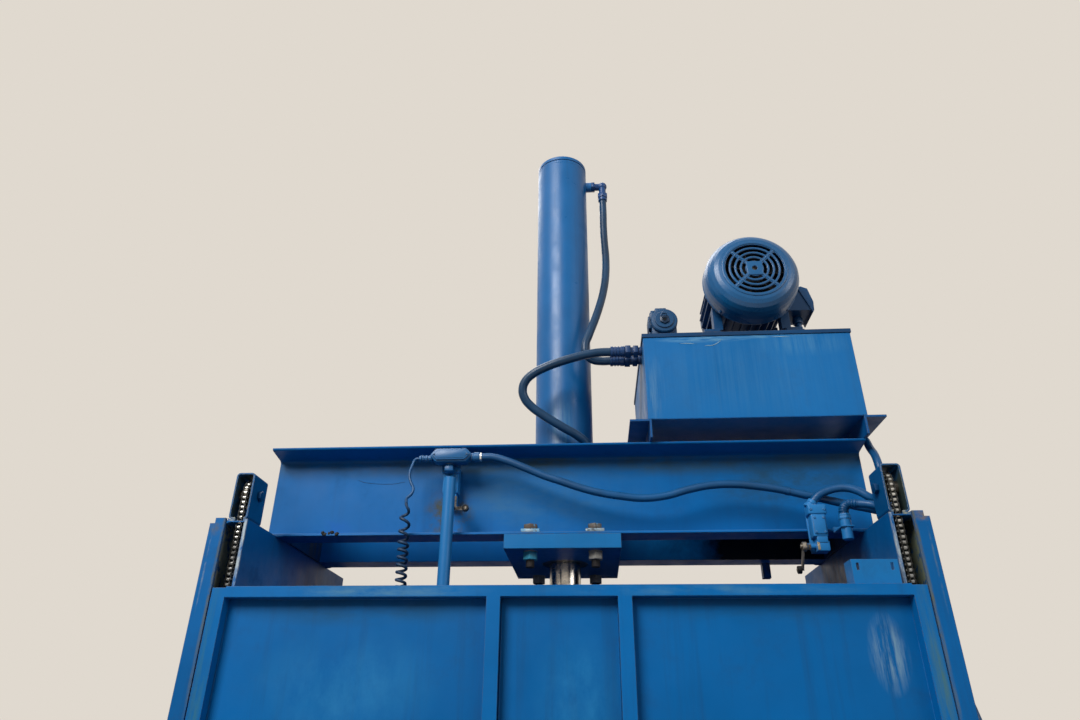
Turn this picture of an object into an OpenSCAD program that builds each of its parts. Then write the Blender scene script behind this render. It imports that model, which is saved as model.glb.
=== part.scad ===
// Vertical down-stroke recycling baler: a welded chamber with a sliding feed gate in front,
// two cross beams carrying a hydraulic cylinder, and the power unit on top of the beams.
// Origin: centre of the floor anchor holes, at floor level. X to the right, Y to the back, Z up.

/* [Chamber] */
// Inner width between the two side plates
chamber_w = 1556; // [1356:2:1756]
// Distance from the cylinder axis forward to the front edge of the side plates
chamber_front = 386; // [366:1:420]
// Distance from the cylinder axis back to the rear wall
chamber_rear = 381; // [350:1:420]
// Thickness of the side and rear plates
plate_t = 8; // [5:1:12]
// Height of the base rails
base_rail_h = 150; // [100:5:180]
// Thickness of the foot plates
foot_t = 12; // [8:1:20]
// Thickness of the chamber floor plate
floor_t = 10; // [6:1:16]
// Distance between the left and right anchor holes
anchor_x = 1790; // [1700:2:1900]
// Distance between the front and rear anchor holes
anchor_y = 640; // [560:2:700]
// Diameter of an anchor hole
anchor_d = 18; // [12:1:24]
// Height of the sill under the feed opening
sill_h = 80; // [60:2:120]
// Depth of the sill, and of the chamber door with its ribs
lining_d = 44; // [36:1:50]

/* [Guide posts] */
// Width of a guide post across the front
post_w = 67; // [60:1:90]
// Width of the post's front flange
post_flange_w = 37; // [25:1:45]
// Depth of a guide post
post_depth = 182; // [160:1:200]
// How far the post's top lies under the beams
post_drop = 7; // [4:1:20]
// Size of the notch in the post's outer top corner
post_notch = 13; // [5:1:25]

/* [Feed gate] */
// Height of the gate's top edge over the floor when it is up
gate_top_z = 2010; // [1900:5:2150]
// Height of the gate
gate_h = 790; // [700:5:850]
// Depth of the gate's frame
gate_depth = 32; // [26:1:40]
// Gap between the gate and the front edge of the side plates
gate_gap = 4; // [3:0.5:8]
// Width of a side stile across the front
stile_w = 33; // [26:1:45]
// Height of the top and bottom rails
rail_h = 25; // [20:1:45]
// Thickness of the gate's sheet
gate_sheet_t = 3; // [2:0.5:5]
// Distance of the two upright ribs from the middle
rib_x = 149; // [100:1:220]
// Width of an upright rib
rib_w = 32; // [22:1:45]
// Travel of the gate in chain pitches
gate_pitches = 60; // [48:1:60]
// Width of the switch flag on the gate's top rail
flag_w = 104; // [60:2:140]
// Height of the switch flag
flag_h = 56; // [30:1:80]

/* [Cross beams] */
// Gap from the gate's top edge up to the underside of the beams
beam_rise = 170; // [150:2:220]
// Depth of the channel section
beam_h = 254; // [200:2:300]
// Width of the channel's flange
beam_flange = 80; // [65:1:100]
// Thickness of the channel's web
beam_web = 10; // [6:1:14]
// Thickness of the channel's flange
beam_flange_t = 12; // [8:1:16]
// Slope of a beam flange's inner face, as on a rolled channel
flange_slope = 0.16; // [0:0.01:0.2]
// Clear gap between the two webs
beam_gap = 253; // [220:1:270]
// Length of a beam beyond the side plate at each end
beam_over = 46; // [20:1:50]

/* [Cylinder] */
// Outer diameter of the barrel
barrel_d = 178; // [160:1:200]
// Wall of the barrel
barrel_wall = 13; // [10:0.5:20]
// Height of the barrel over the mounting plate, with its cap
barrel_h = 1429; // [1400:1:1500]
// Diameter of the piston rod
rod_d = 89; // [70:1:100]
// Height of the end cap
cap_h = 30; // [20:1:45]
// Stroke of the ram
ram_stroke = 1200; // [900:10:1200]
// Width of the mounting plate
mount_w = 310; // [270:2:360]
// Thickness of the mounting plate
mount_t = 38; // [25:1:45]
// Distance between the plate's bolts across the machine
mount_bolt_x = 174; // [150:2:220]
// Diameter of the plate's bolts
mount_bolt_d = 24; // [16:1:27]

/* [Platen] */
// Height of the platen
platen_h = 150; // [120:2:170]
// Gap between the top of the platen and the gate's top edge
platen_drop = 8; // [5:1:30]
// Thickness of the platen's pressing plate
platen_t = 16; // [10:1:25]
// Thickness of the platen's ribs
platen_rib = 12; // [8:1:16]
// Gap between the platen and the chamber walls
platen_gap = 20; // [12:1:30]
// Outer diameter of the switch tube on the platen
trip_tube_d = 32; // [25:1:40]
// Height of the switch tube's top over the gate's top edge
trip_tube_rise = 313; // [280:1:330]

/* [Chain drive] */
// Pitch of the roller chain
chain_pitch = 12.7;
// Diameter of a chain roller
roller_d = 7.9; // [7:0.1:8.5]
// Number of teeth on a chain wheel
teeth = 17; // [16:1:18]
// Height of the chain wheel's axle over the gate's top edge
axle_rise = 240; // [220:1:245]
// Distance from the side plate's outer face to the middle of the chain
chain_in = 15; // [14:0.5:18]
// Width of the chain wheel's box
box_w = 48; // [44:1:54]
// Height of the chain wheel's box
box_h = 120; // [110:1:140]
// Depth of the chain wheel's box
box_d = 82; // [76:1:90]
// Wall of the chain wheel's box
box_t = 4; // [3:0.5:5]
// Diameter of the chain wheel's axle
axle_d = 16; // [12:1:20]
// Length of a counterweight
weight_h = 700; // [500:10:760]

/* [Power unit] */
// Width of the oil tank
tank_w = 594; // [500:2:700]
// Depth of the oil tank
tank_d = 485; // [420:1:520]
// Height of the oil tank
tank_h = 264; // [220:2:320]
// Wall of the oil tank
tank_t = 4; // [2:0.5:6]
// Leg of the angle rails under the tank
angle_leg = 54; // [40:1:60]
// Height of the motor's shaft over its feet
motor_centre = 160; // [150:1:180]
// Height of the rails under the motor
motor_rail_h = 73; // [50:1:90]
// Outer diameter of the fan cowl
cowl_d = 292; // [270:1:310]
// Number of cooling fins around the motor
fin_count = 28; // [20:2:36]
// Length of the finned motor body
motor_l = 240; // [200:2:280]

/* [Chamber door] */
// Number of slots for the bale ties
tie_slots = 5; // [4:1:6]
// Width of a tie slot
tie_slot_w = 16; // [10:1:24]
// Diameter of the latch's hand wheel
wheel_d = 170; // [140:2:180]

/* [Control box] */
// Width of the control box
control_w = 280; // [240:2:320]
// Height of the control box
control_h = 420; // [360:5:440]
// Depth of the control box
control_d = 180; // [140:2:190]

/* [Hidden] */
$fn = 48;

// Paint and metal colours
blue = [0.11, 0.36, 0.58];
navy = [0.06, 0.20, 0.36];
steel = [0.62, 0.62, 0.60];
dark_steel = [0.22, 0.21, 0.20];
chrome = [0.80, 0.80, 0.82];
black = [0.08, 0.08, 0.09];

// Clearances
run_gap = 0.08;      // a shaft turning in its bore, on the radius
bore_d = barrel_d - 2 * barrel_wall;
gland_h = 90;
latch_notch_low = 62;
cowl_face_r = 98;
cowl_nose = 62;
cowl_skirt = 95;
cowl_t = 4;
slide_gap = 1.5;     // a shoe against its wall
part_gap = 0.3;      // loose pieces beside each other

// Chamber and base, from the floor up
wall_in = chamber_w / 2;
wall_out = wall_in + plate_t;
post_out = wall_out + post_w;
rail_z = foot_t + base_rail_h;
floor_z = rail_z + floor_t;
beam_z = gate_top_z + beam_rise;
beam_top = beam_z + beam_h;
rear_out = chamber_rear + plate_t;
rear_wall_top = beam_z - 50;
lining_y = chamber_front - lining_d;
chord_h = 100;
chord_w = 50;

// Gate
gate_y = -(chamber_front + gate_gap + gate_depth);
gate_bottom_z = gate_top_z - gate_h;
gate_travel = gate_pitches * chain_pitch;
post_slot = post_out - post_flange_w;
gate_half = post_slot - 3;
gate_in = gate_half - stile_w;
flange_t = 8;
gate_metal = 4;
sill_top = gate_bottom_z + 20;
sill_z = sill_top - sill_h;

// Beams and mounting plate
beam_half = wall_out + beam_over;
lip_y = beam_gap / 2 + beam_flange;
web_y = beam_gap / 2 + beam_web;
mount_bolt_y = beam_gap / 2 + beam_flange / 2;
// thickness of a beam's flange at a distance from its tip, and its inner line with toe and fillet
flange_out = beam_flange - beam_web;
function flange_at(d) = beam_flange_t + flange_slope * (d - flange_out / 2);
toe_r = min(4, flange_at(0) * 0.6);
root_r = 7;
flange_line = [[0, flange_at(0) - toe_r], [0.3 * toe_r, flange_at(0) - 0.3 * toe_r],
    [toe_r, flange_at(toe_r)], [flange_out - root_r, flange_at(flange_out - root_r)],
    [flange_out - 0.3 * root_r, flange_at(flange_out) + 0.3 * root_r],
    [flange_out, flange_at(flange_out) + root_r]];
plate_z = beam_z - mount_t;
cap_z = beam_z + barrel_h - cap_h;

// Platen and rod
platen_top = gate_top_z - platen_drop;
platen_bottom = platen_top - platen_h;
platen_half = wall_in - platen_gap;
platen_front = -(lining_y - 6);
platen_rear = chamber_rear - 6;
piston_h = 60;
piston_top = cap_z - 10;
trip_tube_x = -301;
trip_tube_y = -250;

// Chain wheel and chain
pitch_r = chain_pitch / (2 * sin(180 / teeth));
wheel_r = chain_pitch * (0.55 + 1 / tan(180 / teeth)) / 2;
chain_x = wall_out + chain_in;
axle_z = gate_top_z + axle_rise;
box_front = -(chamber_front - 1);
axle_y = box_front + 43;
box_in = wall_out - 5;
front_run_y = axle_y - pitch_r;
rear_run_y = axle_y + pitch_r;
plate_half = 4;            // half the gap between the inner link plates
link_t = 1.5;
link_h = 11.6;
front_pitches = 21;
wrap_pitches = floor(teeth / 2);
rear_pitches = gate_pitches + 8;
lug_z = axle_z - front_pitches * chain_pitch;
wrap_step = 360 / teeth;
rear_start = pitch_r * sin(180 - wrap_pitches * wrap_step) - chain_pitch;
weight_pin_z = axle_z + rear_start - (rear_pitches - 1) * chain_pitch;
weight_top = weight_pin_z + 10;

// Power unit
tank_x1 = beam_half + 4;
tank_x0 = tank_x1 - tank_w;
tank_z = beam_top + angle_leg;
lid_z = tank_z + tank_h;
lid_t = 6;
lid_rim = 6;
lid_top = lid_z + lid_t;
angle_t = 6;
motor_x = tank_x1 - 236;
motor_foot_z = lid_top + motor_rail_h;
motor_z = motor_foot_z + motor_centre;
cowl_front = -225;
cowl_rear = cowl_front + 95;
motor_y0 = cowl_rear;
motor_y1 = motor_y0 + motor_l;
motor_core_r = 108;
motor_fin_r = 129;
motor_shaft_d = 38;
motor_rail_x = 127;

// Chamber door
door_half = wall_in - 8;
door_z0 = floor_z + 8;
door_z1 = sill_z - 8;
door_skin_y = -(chamber_front + 1);
door_skin_t = 6;
hinge_x = -(wall_in - 14);
hinge_y = -(chamber_front - 12);
hinge_pin_d = 14;
knuckle_d = 24;
knuckle_h = 70;
hinge_zs = [260, 620, 980];
latch_x = wall_in - 78;
latch_z = 330;
latch_reach = 95;

// Control box
control_x0 = post_out + 8;
control_front = -400;
control_z0 = 1180;

// Hose and conduit routes, drawn for the sizes above. Each end is carried along when the piece
// that holds it moves, and the points between follow.
function carried(route, a, b) = [for (i = [0:len(route) - 1])
    let (w = min(1, max(0, (i - 1) / (len(route) - 3)))) route[i] + a + (b - a) * w];
lift = gate_top_z - 2010;
lip_shift = [0, 206.5 - lip_y, lift];
barrel_shift = (barrel_d - 178) / 2;
tank_shift = [tank_x0 - 242, 0, lid_z - 2752];
box_shift = [post_out - 853, control_d - 180, control_z0 + control_h - 1600];
hose_d = 26;
conduit_d = 21;
lead_d = 7;
coil_d = 32;
hose_top_route = carried([[149, 0, 3460], [149, 0, 3400], [148, -2, 3340], [149, -8, 3270],
    [151, -22, 3190], [147, -42, 3100], [138, -64, 3030], [124, -88, 2960],
    [104, -112, 2885], [84, -132, 2820], [72, -140, 2778], [76, -138, 2750],
    [94, -132, 2735], [119, -130, 2730], [148, -130, 2730]],
    [barrel_shift, 0, cap_z - 3579], tank_shift);
hose_bottom_route = carried([[148, -188, 2730], [120, -188, 2730], [86, -189, 2725],
    [41, -190, 2714], [-4, -190, 2700], [-50, -186, 2684], [-84, -180, 2668],
    [-108, -172, 2648], [-117, -165, 2624], [-112, -158, 2599], [-92, -151, 2574],
    [-62, -146, 2551], [-28, -141, 2529], [8, -134, 2508], [42, -124, 2490],
    [68, -110, 2470], [83, -97, 2440], [90, -90, 2408], [90, -90, 2380]],
    tank_shift, [barrel_shift, -barrel_shift, lift]);
conduit_long_route = carried([[-222, -212, 2395], [-196, -212, 2395], [-150, -212, 2382],
    [-100, -212, 2361], [-50, -212, 2339], [0, -212, 2321], [50, -212, 2303],
    [100, -212, 2289], [160, -212, 2278], [220, -212, 2272], [280, -212, 2278],
    [340, -212, 2294], [400, -212, 2305], [460, -212, 2307], [520, -212, 2301],
    [580, -212, 2291], [640, -212, 2276], [700, -214, 2260], [760, -220, 2243],
    [810, -226, 2229], [850, -228, 2214], [874, -230, 2184], [885, -232, 2140],
    [888, -234, 2000], [888, -236, 1850], [892, -246, 1720], [892, -246, 1618]],
    lip_shift, box_shift);
conduit_switch_route = carried([[654, -236, 2251], [661, -236.5, 2259], [672, -238, 2268],
    [690, -240, 2276], [715, -244, 2282], [740, -250, 2281], [765, -258, 2270],
    [790, -266, 2250], [830, -268, 2234], [860, -266, 2210], [878, -264, 2172],
    [886, -264, 2110], [888, -266, 1900], [892, -282, 1740], [892, -282, 1618]],
    lip_shift, box_shift);
conduit_sensor_route = carried([[717, -262, 2209], [717, -262, 2219], [722, -263, 2230],
    [735, -265, 2235], [752, -269, 2234], [770, -276, 2231], [790, -284, 2224],
    [830, -284, 2207], [856, -286, 2200], [868, -290, 2176], [880, -296, 2130],
    [884, -297, 2000], [886, -299, 1850], [892, -318, 1720], [892, -318, 1618]],
    lip_shift, box_shift);
conduit_motor_route = carried([[765, -28, 2903], [765, -28, 2884], [766, -22, 2860],
    [770, -2, 2834], [778, 40, 2814], [790, 110, 2798], [808, 180, 2791], [826, 240, 2786],
    [844, 268, 2762], [850, 278, 2720], [852, 280, 2600], [852, 276, 2520],
    [852, 268, 2486], [852, 256, 2462], [852, 230, 2450], [852, 120, 2450],
    [852, 20, 2451], [856, -60, 2458], [860, -120, 2463], [860, -150, 2426],
    [851, -200, 2378], [850, -214, 2330], [862, -208, 2280], [884, -204, 2230],
    [904, -212, 2180], [912, -222, 2110], [914, -228, 2000], [914, -230, 1850],
    [932, -246, 1720], [932, -246, 1618]],
    [motor_x - 600, 0, motor_z - 2991], box_shift);
lead_route = carried([[-399.3, -216, 2392], [-409, -216, 2390], [-416, -220, 2372],
    [-420, -226, 2342], [-413, -230, 2318], [-404, -233, 2300], [-408, -235, 2284],
    [-420, -235, 2271], [-420, -235, 2260.4]], lip_shift, lip_shift);
coil_top = [-420, -235, 2260] + lip_shift;
coil_bottom = [-410, -235 + lip_shift[1], platen_top - 112];

// A cuboid from its low corner to its high corner
module block(lo, hi) {
    translate(lo) cube(hi - lo);
}

// A cylinder of diameter d from point p, along one axis, l long
module rod_x(p, d, l) { translate(p) rotate([0, 90, 0]) cylinder(d = d, h = l); }
module rod_y(p, d, l) { translate(p) rotate([-90, 0, 0]) cylinder(d = d, h = l); }
module rod_z(p, d, l) { translate(p) cylinder(d = d, h = l); }

// A hexagon head or nut, s across its flats
module hex_x(p, s, l) { translate(p) rotate([0, 90, 0]) cylinder(d = s / cos(30), h = l, $fn = 6); }
module hex_y(p, s, l) { translate(p) rotate([-90, 0, 0]) cylinder(d = s / cos(30), h = l, $fn = 6); }
module hex_z(p, s, l) { translate(p) cylinder(d = s / cos(30), h = l, $fn = 6); }

// The mirror image of a right-hand piece
module left() { mirror([1, 0, 0]) children(); }

// A rectangle with round corners, centred
module round_rect(w, h, r) {
    square([w - 2 * r, h], center = true);
    square([w, h - 2 * r], center = true);
    for (x = [-1, 1], y = [-1, 1])
        translate([x * (w / 2 - r), y * (h / 2 - r)]) circle(r = r, $fn = 32);
}

// A length of round hose that follows a list of points
function unit(v) = v / norm(v);
function flat(v, t) = unit(v - (v * t) * t);
function tangents(p) = [for (i = [0:len(p) - 1])
    unit(p[min(i + 1, len(p) - 1)] - p[max(i - 1, 0)])];
function normals(t) = [for (i = 0, n = flat([0.3, 1, 0.1], t[0]); i < len(t);
    i = i + 1, n = i < len(t) ? flat(n, t[i]) : n) n];
module sweep(p, d, sides = 8) {
    t = tangents(p);
    n = normals(t);
    rings = [for (i = [0:len(p) - 1], k = [0:sides - 1])
        let (b = cross(t[i], n[i]), a = 360 * k / sides)
        p[i] + d / 2 * (cos(a) * n[i] + sin(a) * b)];
    last = len(p) - 1;
    skin = [for (i = [0:last - 1], k = [0:sides - 1])
        let (k2 = (k + 1) % sides)
        [i * sides + k, (i + 1) * sides + k, (i + 1) * sides + k2, i * sides + k2]];
    ends = [[for (k = [0:sides - 1]) k], [for (k = [sides - 1:-1:0]) last * sides + k]];
    polyhedron(points = rings, faces = concat(skin, ends), convexity = 6);
}

// Base: foot plates, hollow side rails and cross rails under the floor
module base_frame() color(blue) {
    foot_x = anchor_x / 2;
    foot_y = anchor_y / 2;
    for (x = [-1, 1], y = [-1, 1]) difference() {
        block([min(x * (wall_out - 30), x * (foot_x + 45)), y * foot_y - 70, 0],
            [max(x * (wall_out - 30), x * (foot_x + 45)), y * foot_y + 70, foot_t]);
        rod_z([x * foot_x, y * foot_y, -1], anchor_d, foot_t + 2);
    }
    for (x = [-1, 1]) difference() {
        block([x > 0 ? wall_out : -post_out, gate_y, foot_t],
            [x > 0 ? post_out : -wall_out, rear_out, rail_z]);
        block([x > 0 ? wall_out + 6 : -post_out + 6, gate_y - 1, foot_t + 6],
            [x > 0 ? post_out - 6 : -wall_out - 6, rear_out + 1, rail_z - 6]);
    }
    for (i = [0:3]) {
        y = -chamber_front + 10 + i * (chamber_front + chamber_rear - 80) / 3;
        difference() {
            block([-wall_out, y, foot_t + 30], [wall_out, y + 60, rail_z]);
            block([-wall_out - 1, y + 6, foot_t + 36], [wall_out + 1, y + 54, rail_z - 6]);
        }
    }
}

// Chamber floor: one plate
module floor_plate() color(blue)
    block([-wall_out, -chamber_front, rail_z], [wall_out, rear_out, floor_z]);

function slot_xs() = [for (i = [0:tie_slots - 1])
    (i - (tie_slots - 1) / 2) * (chamber_w - 120) / tie_slots];

// Side plate with its outside stiffeners; built for the right side
module side_wall() {
    block([wall_in, -chamber_front, floor_z], [wall_out, rear_out, beam_z]);
    // top chord, on which the beams rest
    difference() {
        block([wall_out, post_rear(), beam_z - chord_h], [wall_out + chord_w, rear_out, beam_z]);
        block([wall_out - 1, post_rear() - 1, beam_z - chord_h + 6],
            [wall_out + chord_w - 6, rear_out + 1, beam_z - 6]);
    }
    // upright channels
    for (y = [-90, 110, rear_out - 80]) difference() {
        block([wall_out, y, rail_z], [wall_out + 60, y + 80, beam_z - chord_h]);
        block([wall_out - 1, y + 6, rail_z - 1], [wall_out + 54, y + 74, beam_z - chord_h + 1]);
    }
    // middle stiffener between the uprights
    for (y = [-10, 190]) block([wall_out, y, sill_z], [wall_out + 40, y == -10 ? 110 : rear_out - 80,
        sill_z + 8]);
}

function post_rear() = gate_y + post_depth;

module side_wall_left() color(blue) {
    left() side_wall();
    for (z = hinge_zs) hinge_lug(z);
}

// A welded lug with the standing pin of a lift-off hinge
module hinge_lug(z) {
    block([-wall_in, hinge_y - 7, z - 40], [hinge_x, hinge_y + 7, z]);
    rod_z([hinge_x, hinge_y, z - 40], knuckle_d, 40);
    rod_z([hinge_x, hinge_y, z], hinge_pin_d, knuckle_h - 8);
}

module side_wall_right() color(blue) difference() {
    side_wall();
    block([wall_in - 1, -chamber_front - 1, latch_z - latch_notch_low],
        [wall_out + 1, -chamber_front + 24, latch_z + 18]);
}

// Rear wall with three outside stiffeners
module rear_wall() color(blue) {
    block([-wall_in, chamber_rear, floor_z], [wall_in, rear_out, rear_wall_top]);
    for (i = [0:2]) difference() {
        z = floor_z + (rear_wall_top - floor_z) * (0.178 + 0.296 * i);
        block([-wall_out, rear_out, z], [wall_out, rear_out + chord_w, z + chord_h]);
        block([-wall_out - 1, rear_out - 1, z + 6],
            [wall_out + 1, rear_out + chord_w - 6, z + chord_h - 6]);
    }
}

// Guide post: a channel with an open slot in front for the gate and the chain
module post() {
    top = beam_z - post_drop;
    difference() {
        translate([0, 0, rail_z]) linear_extrude(height = top - rail_z) {
            translate([post_slot, gate_y]) square([post_flange_w, flange_t]);
            translate([post_out - flange_t, gate_y]) square([flange_t, post_depth]);
            translate([wall_out, post_rear() - flange_t]) square([post_w, flange_t]);
        }
        block([post_out - post_notch + 1, gate_y - 1, top - post_notch],
            [post_out + 1, gate_y + flange_t + 40, top + 1]);
    }
    // seat under the chain wheel's box, slotted for the chain
    difference() {
        union() {
            block([wall_out, box_front, top], [box_in + box_w, post_rear(), beam_z]);
            block([wall_out, gate_y + flange_t + 40, top], [post_out, post_rear(), beam_z]);
        }
        chain_notch(top - 1, beam_z + 1);
    }
}

// The space that the chain needs through the seat and the box's bottom
module chain_notch(z0, z1) {
    block([chain_x - 11, box_front - 1, z0], [chain_x + 11, rear_run_y + 10, z1]);
}

module post_left() color(blue) left() post();
module post_right() color(blue) post();

// Sill across the front under the feed opening
module feed_sill() color(blue) difference() {
    block([-wall_in, -chamber_front, sill_z], [wall_in, -lining_y, sill_top]);
    block([-wall_in - 1, -chamber_front + 5, sill_z + 5], [wall_in + 1, -lining_y - 5, sill_top - 5]);
}

// A channel beam with its flanges outward; built for the front
module beam() {
    difference() {
        rotate([90, 0, 90]) translate([0, 0, -beam_half]) linear_extrude(height = 2 * beam_half)
            translate([-lip_y, beam_z]) polygon(concat([[0, 0]], flange_line,
                [for (i = [len(flange_line) - 1:-1:0]) [flange_line[i][0], beam_h - flange_line[i][1]]],
                [[0, beam_h], [beam_flange, beam_h], [beam_flange, 0]]));
        for (x = [-1, 1])
            rod_z([x * mount_bolt_x / 2, -mount_bolt_y, beam_z - 1], mount_bolt_d + 2, 2 * beam_flange_t);
    }
}

module beam_front() color(blue) beam();
module beam_rear() color(blue) {
    mirror([0, 1, 0]) beam();
    // short lug left under its lip
    block([mount_w / 2 + 442, lip_y - 26, beam_z - 44], [mount_w / 2 + 465, lip_y - 2, beam_z]);
}

// Thick plate bolted under the beams, which carries the cylinder
module mount_plate() color(blue) difference() {
    block([-mount_w / 2, -lip_y, plate_z], [mount_w / 2, lip_y, beam_z]);
    rod_z([0, 0, plate_z - 1], bore_d - 20, mount_t + 2);
    for (x = [-1, 1], y = [-1, 1])
        rod_z([x * mount_bolt_x / 2, y * mount_bolt_y, plate_z - 1], mount_bolt_d + 2, mount_t + 2);
}

// Four bolts with square bevel washers above and nuts below
module mount_bolts() color(dark_steel) for (x = [-1, 1], y = [-1, 1]) {
    p = [x * mount_bolt_x / 2, y * mount_bolt_y];
    seat = beam_z + beam_flange_t;
    // square taper washer on the sloping flange
    mirror([0, y < 0 ? 0 : 1, 0]) translate([p[0] - 22, 0, beam_z]) rotate([90, 0, 90])
        linear_extrude(height = 44) polygon([for (e = [[22, 0], [-22, 0], [-22, 1], [22, 1]])
            [-mount_bolt_y - e[0], e[1] == 1 ? beam_flange_t + 7
                : flange_at(lip_y - mount_bolt_y - e[0]) + 0.05]]);
    hex_z([p[0], p[1], seat + 7], 36, 15);
    rod_z([p[0], p[1], plate_z - 42], mount_bolt_d, mount_t + beam_flange_t + 56);
    hex_z([p[0], p[1], plate_z - 24], 36, 24);
}

// Barrel tube with its two oil ports
module cylinder_barrel() color(blue) difference() {
    union() {
        rod_z([0, 0, beam_z], barrel_d, barrel_h - cap_h);
        rod_x([barrel_d / 2 - 8, 0, port_top_z()], 36, 28);
        rotate([0, 0, -45]) rod_x([barrel_d / 2 - 8, 0, port_low_z()], 36, 26);
    }
    rod_z([0, 0, beam_z - 1], bore_d, barrel_h - cap_h + 2);
    rod_x([barrel_d / 2 - 30, 0, port_top_z()], 16, 60);
    rotate([0, 0, -45]) rod_x([barrel_d / 2 - 30, 0, port_low_z()], 16, 60);
}

function port_top_z() = cap_z - 50;
function port_low_z() = beam_z + 160;

// Cap on the barrel with a turned groove
module cylinder_cap() color(blue) rotate_extrude($fn = 96) polygon([
    [0, cap_z], [barrel_d / 2, cap_z], [barrel_d / 2, cap_z + 10],
    [barrel_d / 2 - 3, cap_z + 11], [barrel_d / 2 - 3, cap_z + 14],
    [barrel_d / 2, cap_z + 15], [barrel_d / 2, cap_z + cap_h - 3],
    [barrel_d / 2 - 3, cap_z + cap_h], [0, cap_z + cap_h]]);

// Rod guide inside the foot of the barrel
module rod_gland() color(dark_steel) difference() {
    union() {
        rod_z([0, 0, beam_z + part_gap], bore_d - 2 * part_gap, gland_h);
        rod_z([0, 0, plate_z + 2], bore_d - 20 - 2 * part_gap, mount_t - 1);
    }
    rod_z([0, 0, plate_z - 1], rod_d + 2 * run_gap, mount_t + gland_h + 3);
}

// Elbows at the barrel's ports and the two straight fittings on the tank
module hose_fittings() color(navy) {
    elbow(port_top_z());
    rotate([0, 0, -45]) {
        rod_x([barrel_d / 2 + 18, 0, port_low_z()], 24, 12);
        hex_x([barrel_d / 2 + 22, 0, port_low_z()], 30, 10);
    }
    p = hose_bottom_route[len(hose_bottom_route) - 1];
    translate([p[0], p[1], port_low_z()]) sphere(d = 34);
    rod_z([p[0], p[1], port_low_z()], 28, p[2] - port_low_z() - 22);
    hex_z([p[0], p[1], p[2] - 26], 34, 24);
    for (q = [hose_top_route[len(hose_top_route) - 1], hose_bottom_route[0]]) {
        rod_x(q, 34, 44);
        hex_x([q[0] + 44, q[1], q[2]], 38, 16);
        rod_x([q[0] + 60, q[1], q[2]], 28, 8);
        hex_x([q[0] + 68, q[1], q[2]], 36, 14);
        rod_x([q[0] + 82, q[1], q[2]], 26, tank_x0 - q[0] - 82);
    }
}

// Elbow from the side port down to a hose swivel
module elbow(z) {
    q = hose_top_route[0];
    hex_x([barrel_d / 2 + 20, 0, z], 34, 12);
    rod_x([barrel_d / 2 + 32, 0, z], 26, q[0] - barrel_d / 2 - 32);
    translate([q[0], 0, z]) sphere(d = 34);
    rod_z([q[0], 0, q[2] + 22], 26, z - q[2] - 22);
    hex_z([q[0], 0, q[2] + 14], 34, 18);
    rod_z([q[0], 0, q[2]], 32, 14);
}

module hose_top() color(navy) sweep(hose_top_route, hose_d);
module hose_bottom() color(navy) sweep(hose_bottom_route, hose_d);

// Oil tank: a welded sheet box, open under its lid
module oil_tank() color(blue) difference() {
    block([tank_x0, -tank_d / 2, tank_z], [tank_x1, tank_d / 2, lid_z]);
    block([tank_x0 + tank_t, -tank_d / 2 + tank_t, tank_z + tank_t],
        [tank_x1 - tank_t, tank_d / 2 - tank_t, lid_z + 1]);
    for (q = [hose_top_route[len(hose_top_route) - 1], hose_bottom_route[0]])
        rod_x([tank_x0 - 1, q[1], q[2]], 18, tank_t + 2);
}

// Lid with a turned-down rim and the two rails for the motor's feet
module tank_lid() color(blue) {
    rim = lid_rim_t();
    difference() {
        block([tank_x0 - rim, -tank_d / 2 - rim, lid_z - lid_rim],
            [tank_x1 + rim, tank_d / 2 + rim, lid_top]);
        block([tank_x0 - part_gap, -tank_d / 2 - part_gap, lid_z - lid_rim - 1],
            [tank_x1 + part_gap, tank_d / 2 + part_gap, lid_z]);
    }
    for (x = [-1, 1]) translate([motor_x + x * motor_rail_x, 0, 0]) difference() {
        block([-25, motor_y0 + 10, lid_top], [25, motor_y1 - 10, motor_foot_z]);
        block([-19, motor_y0, lid_top], [19, motor_y1, motor_foot_z - 6]);
    }
}

function lid_rim_t() = 3;

// Two angle rails from front to back, which carry the tank on the beams
module tank_rails() color(navy) {
    // right rail: leg on the beams, flange outward
    block([beam_half - angle_t, -tank_d / 2, beam_top], [beam_half, tank_d / 2, tank_z]);
    block([beam_half - angle_t, -tank_d / 2, tank_z - angle_t],
        [beam_half + angle_leg, tank_d / 2, tank_z]);
    block([tank_x0 + 4, -tank_d / 2, beam_top], [tank_x0 + 4 + angle_t, tank_d / 2, tank_z]);
    block([tank_x0 + 10 - angle_leg - angle_t, -tank_d / 2, tank_z - angle_t],
        [tank_x0 + 4 + angle_t, tank_d / 2, tank_z]);
}

// Valve block on the tank with a round cartridge facing forward
module valve_body() color(blue) {
    cx = tank_x0 + 69;
    cy = 36.5 - tank_d / 2;
    cz = lid_top + 57;
    block([cx - 36, cy, lid_top], [cx + 36, cy + 86, lid_top + 101]);
    rod_y([cx, cy - 20, cz], 80, 20);
    rod_y([cx, cy - 27, cz], 60, 8);
    difference() {
        rod_y([cx, cy - 30, cz], 46, 4);
        hex_y([cx, cy - 31, cz - 4], 24, 6);
    }
    hex_z([cx, cy - 10, cz + 36], 20, 14);
    for (z = [-1, 1]) hex_x([cx - 44, cy + 26, cz + z * 24], 17, 8);
}

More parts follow.
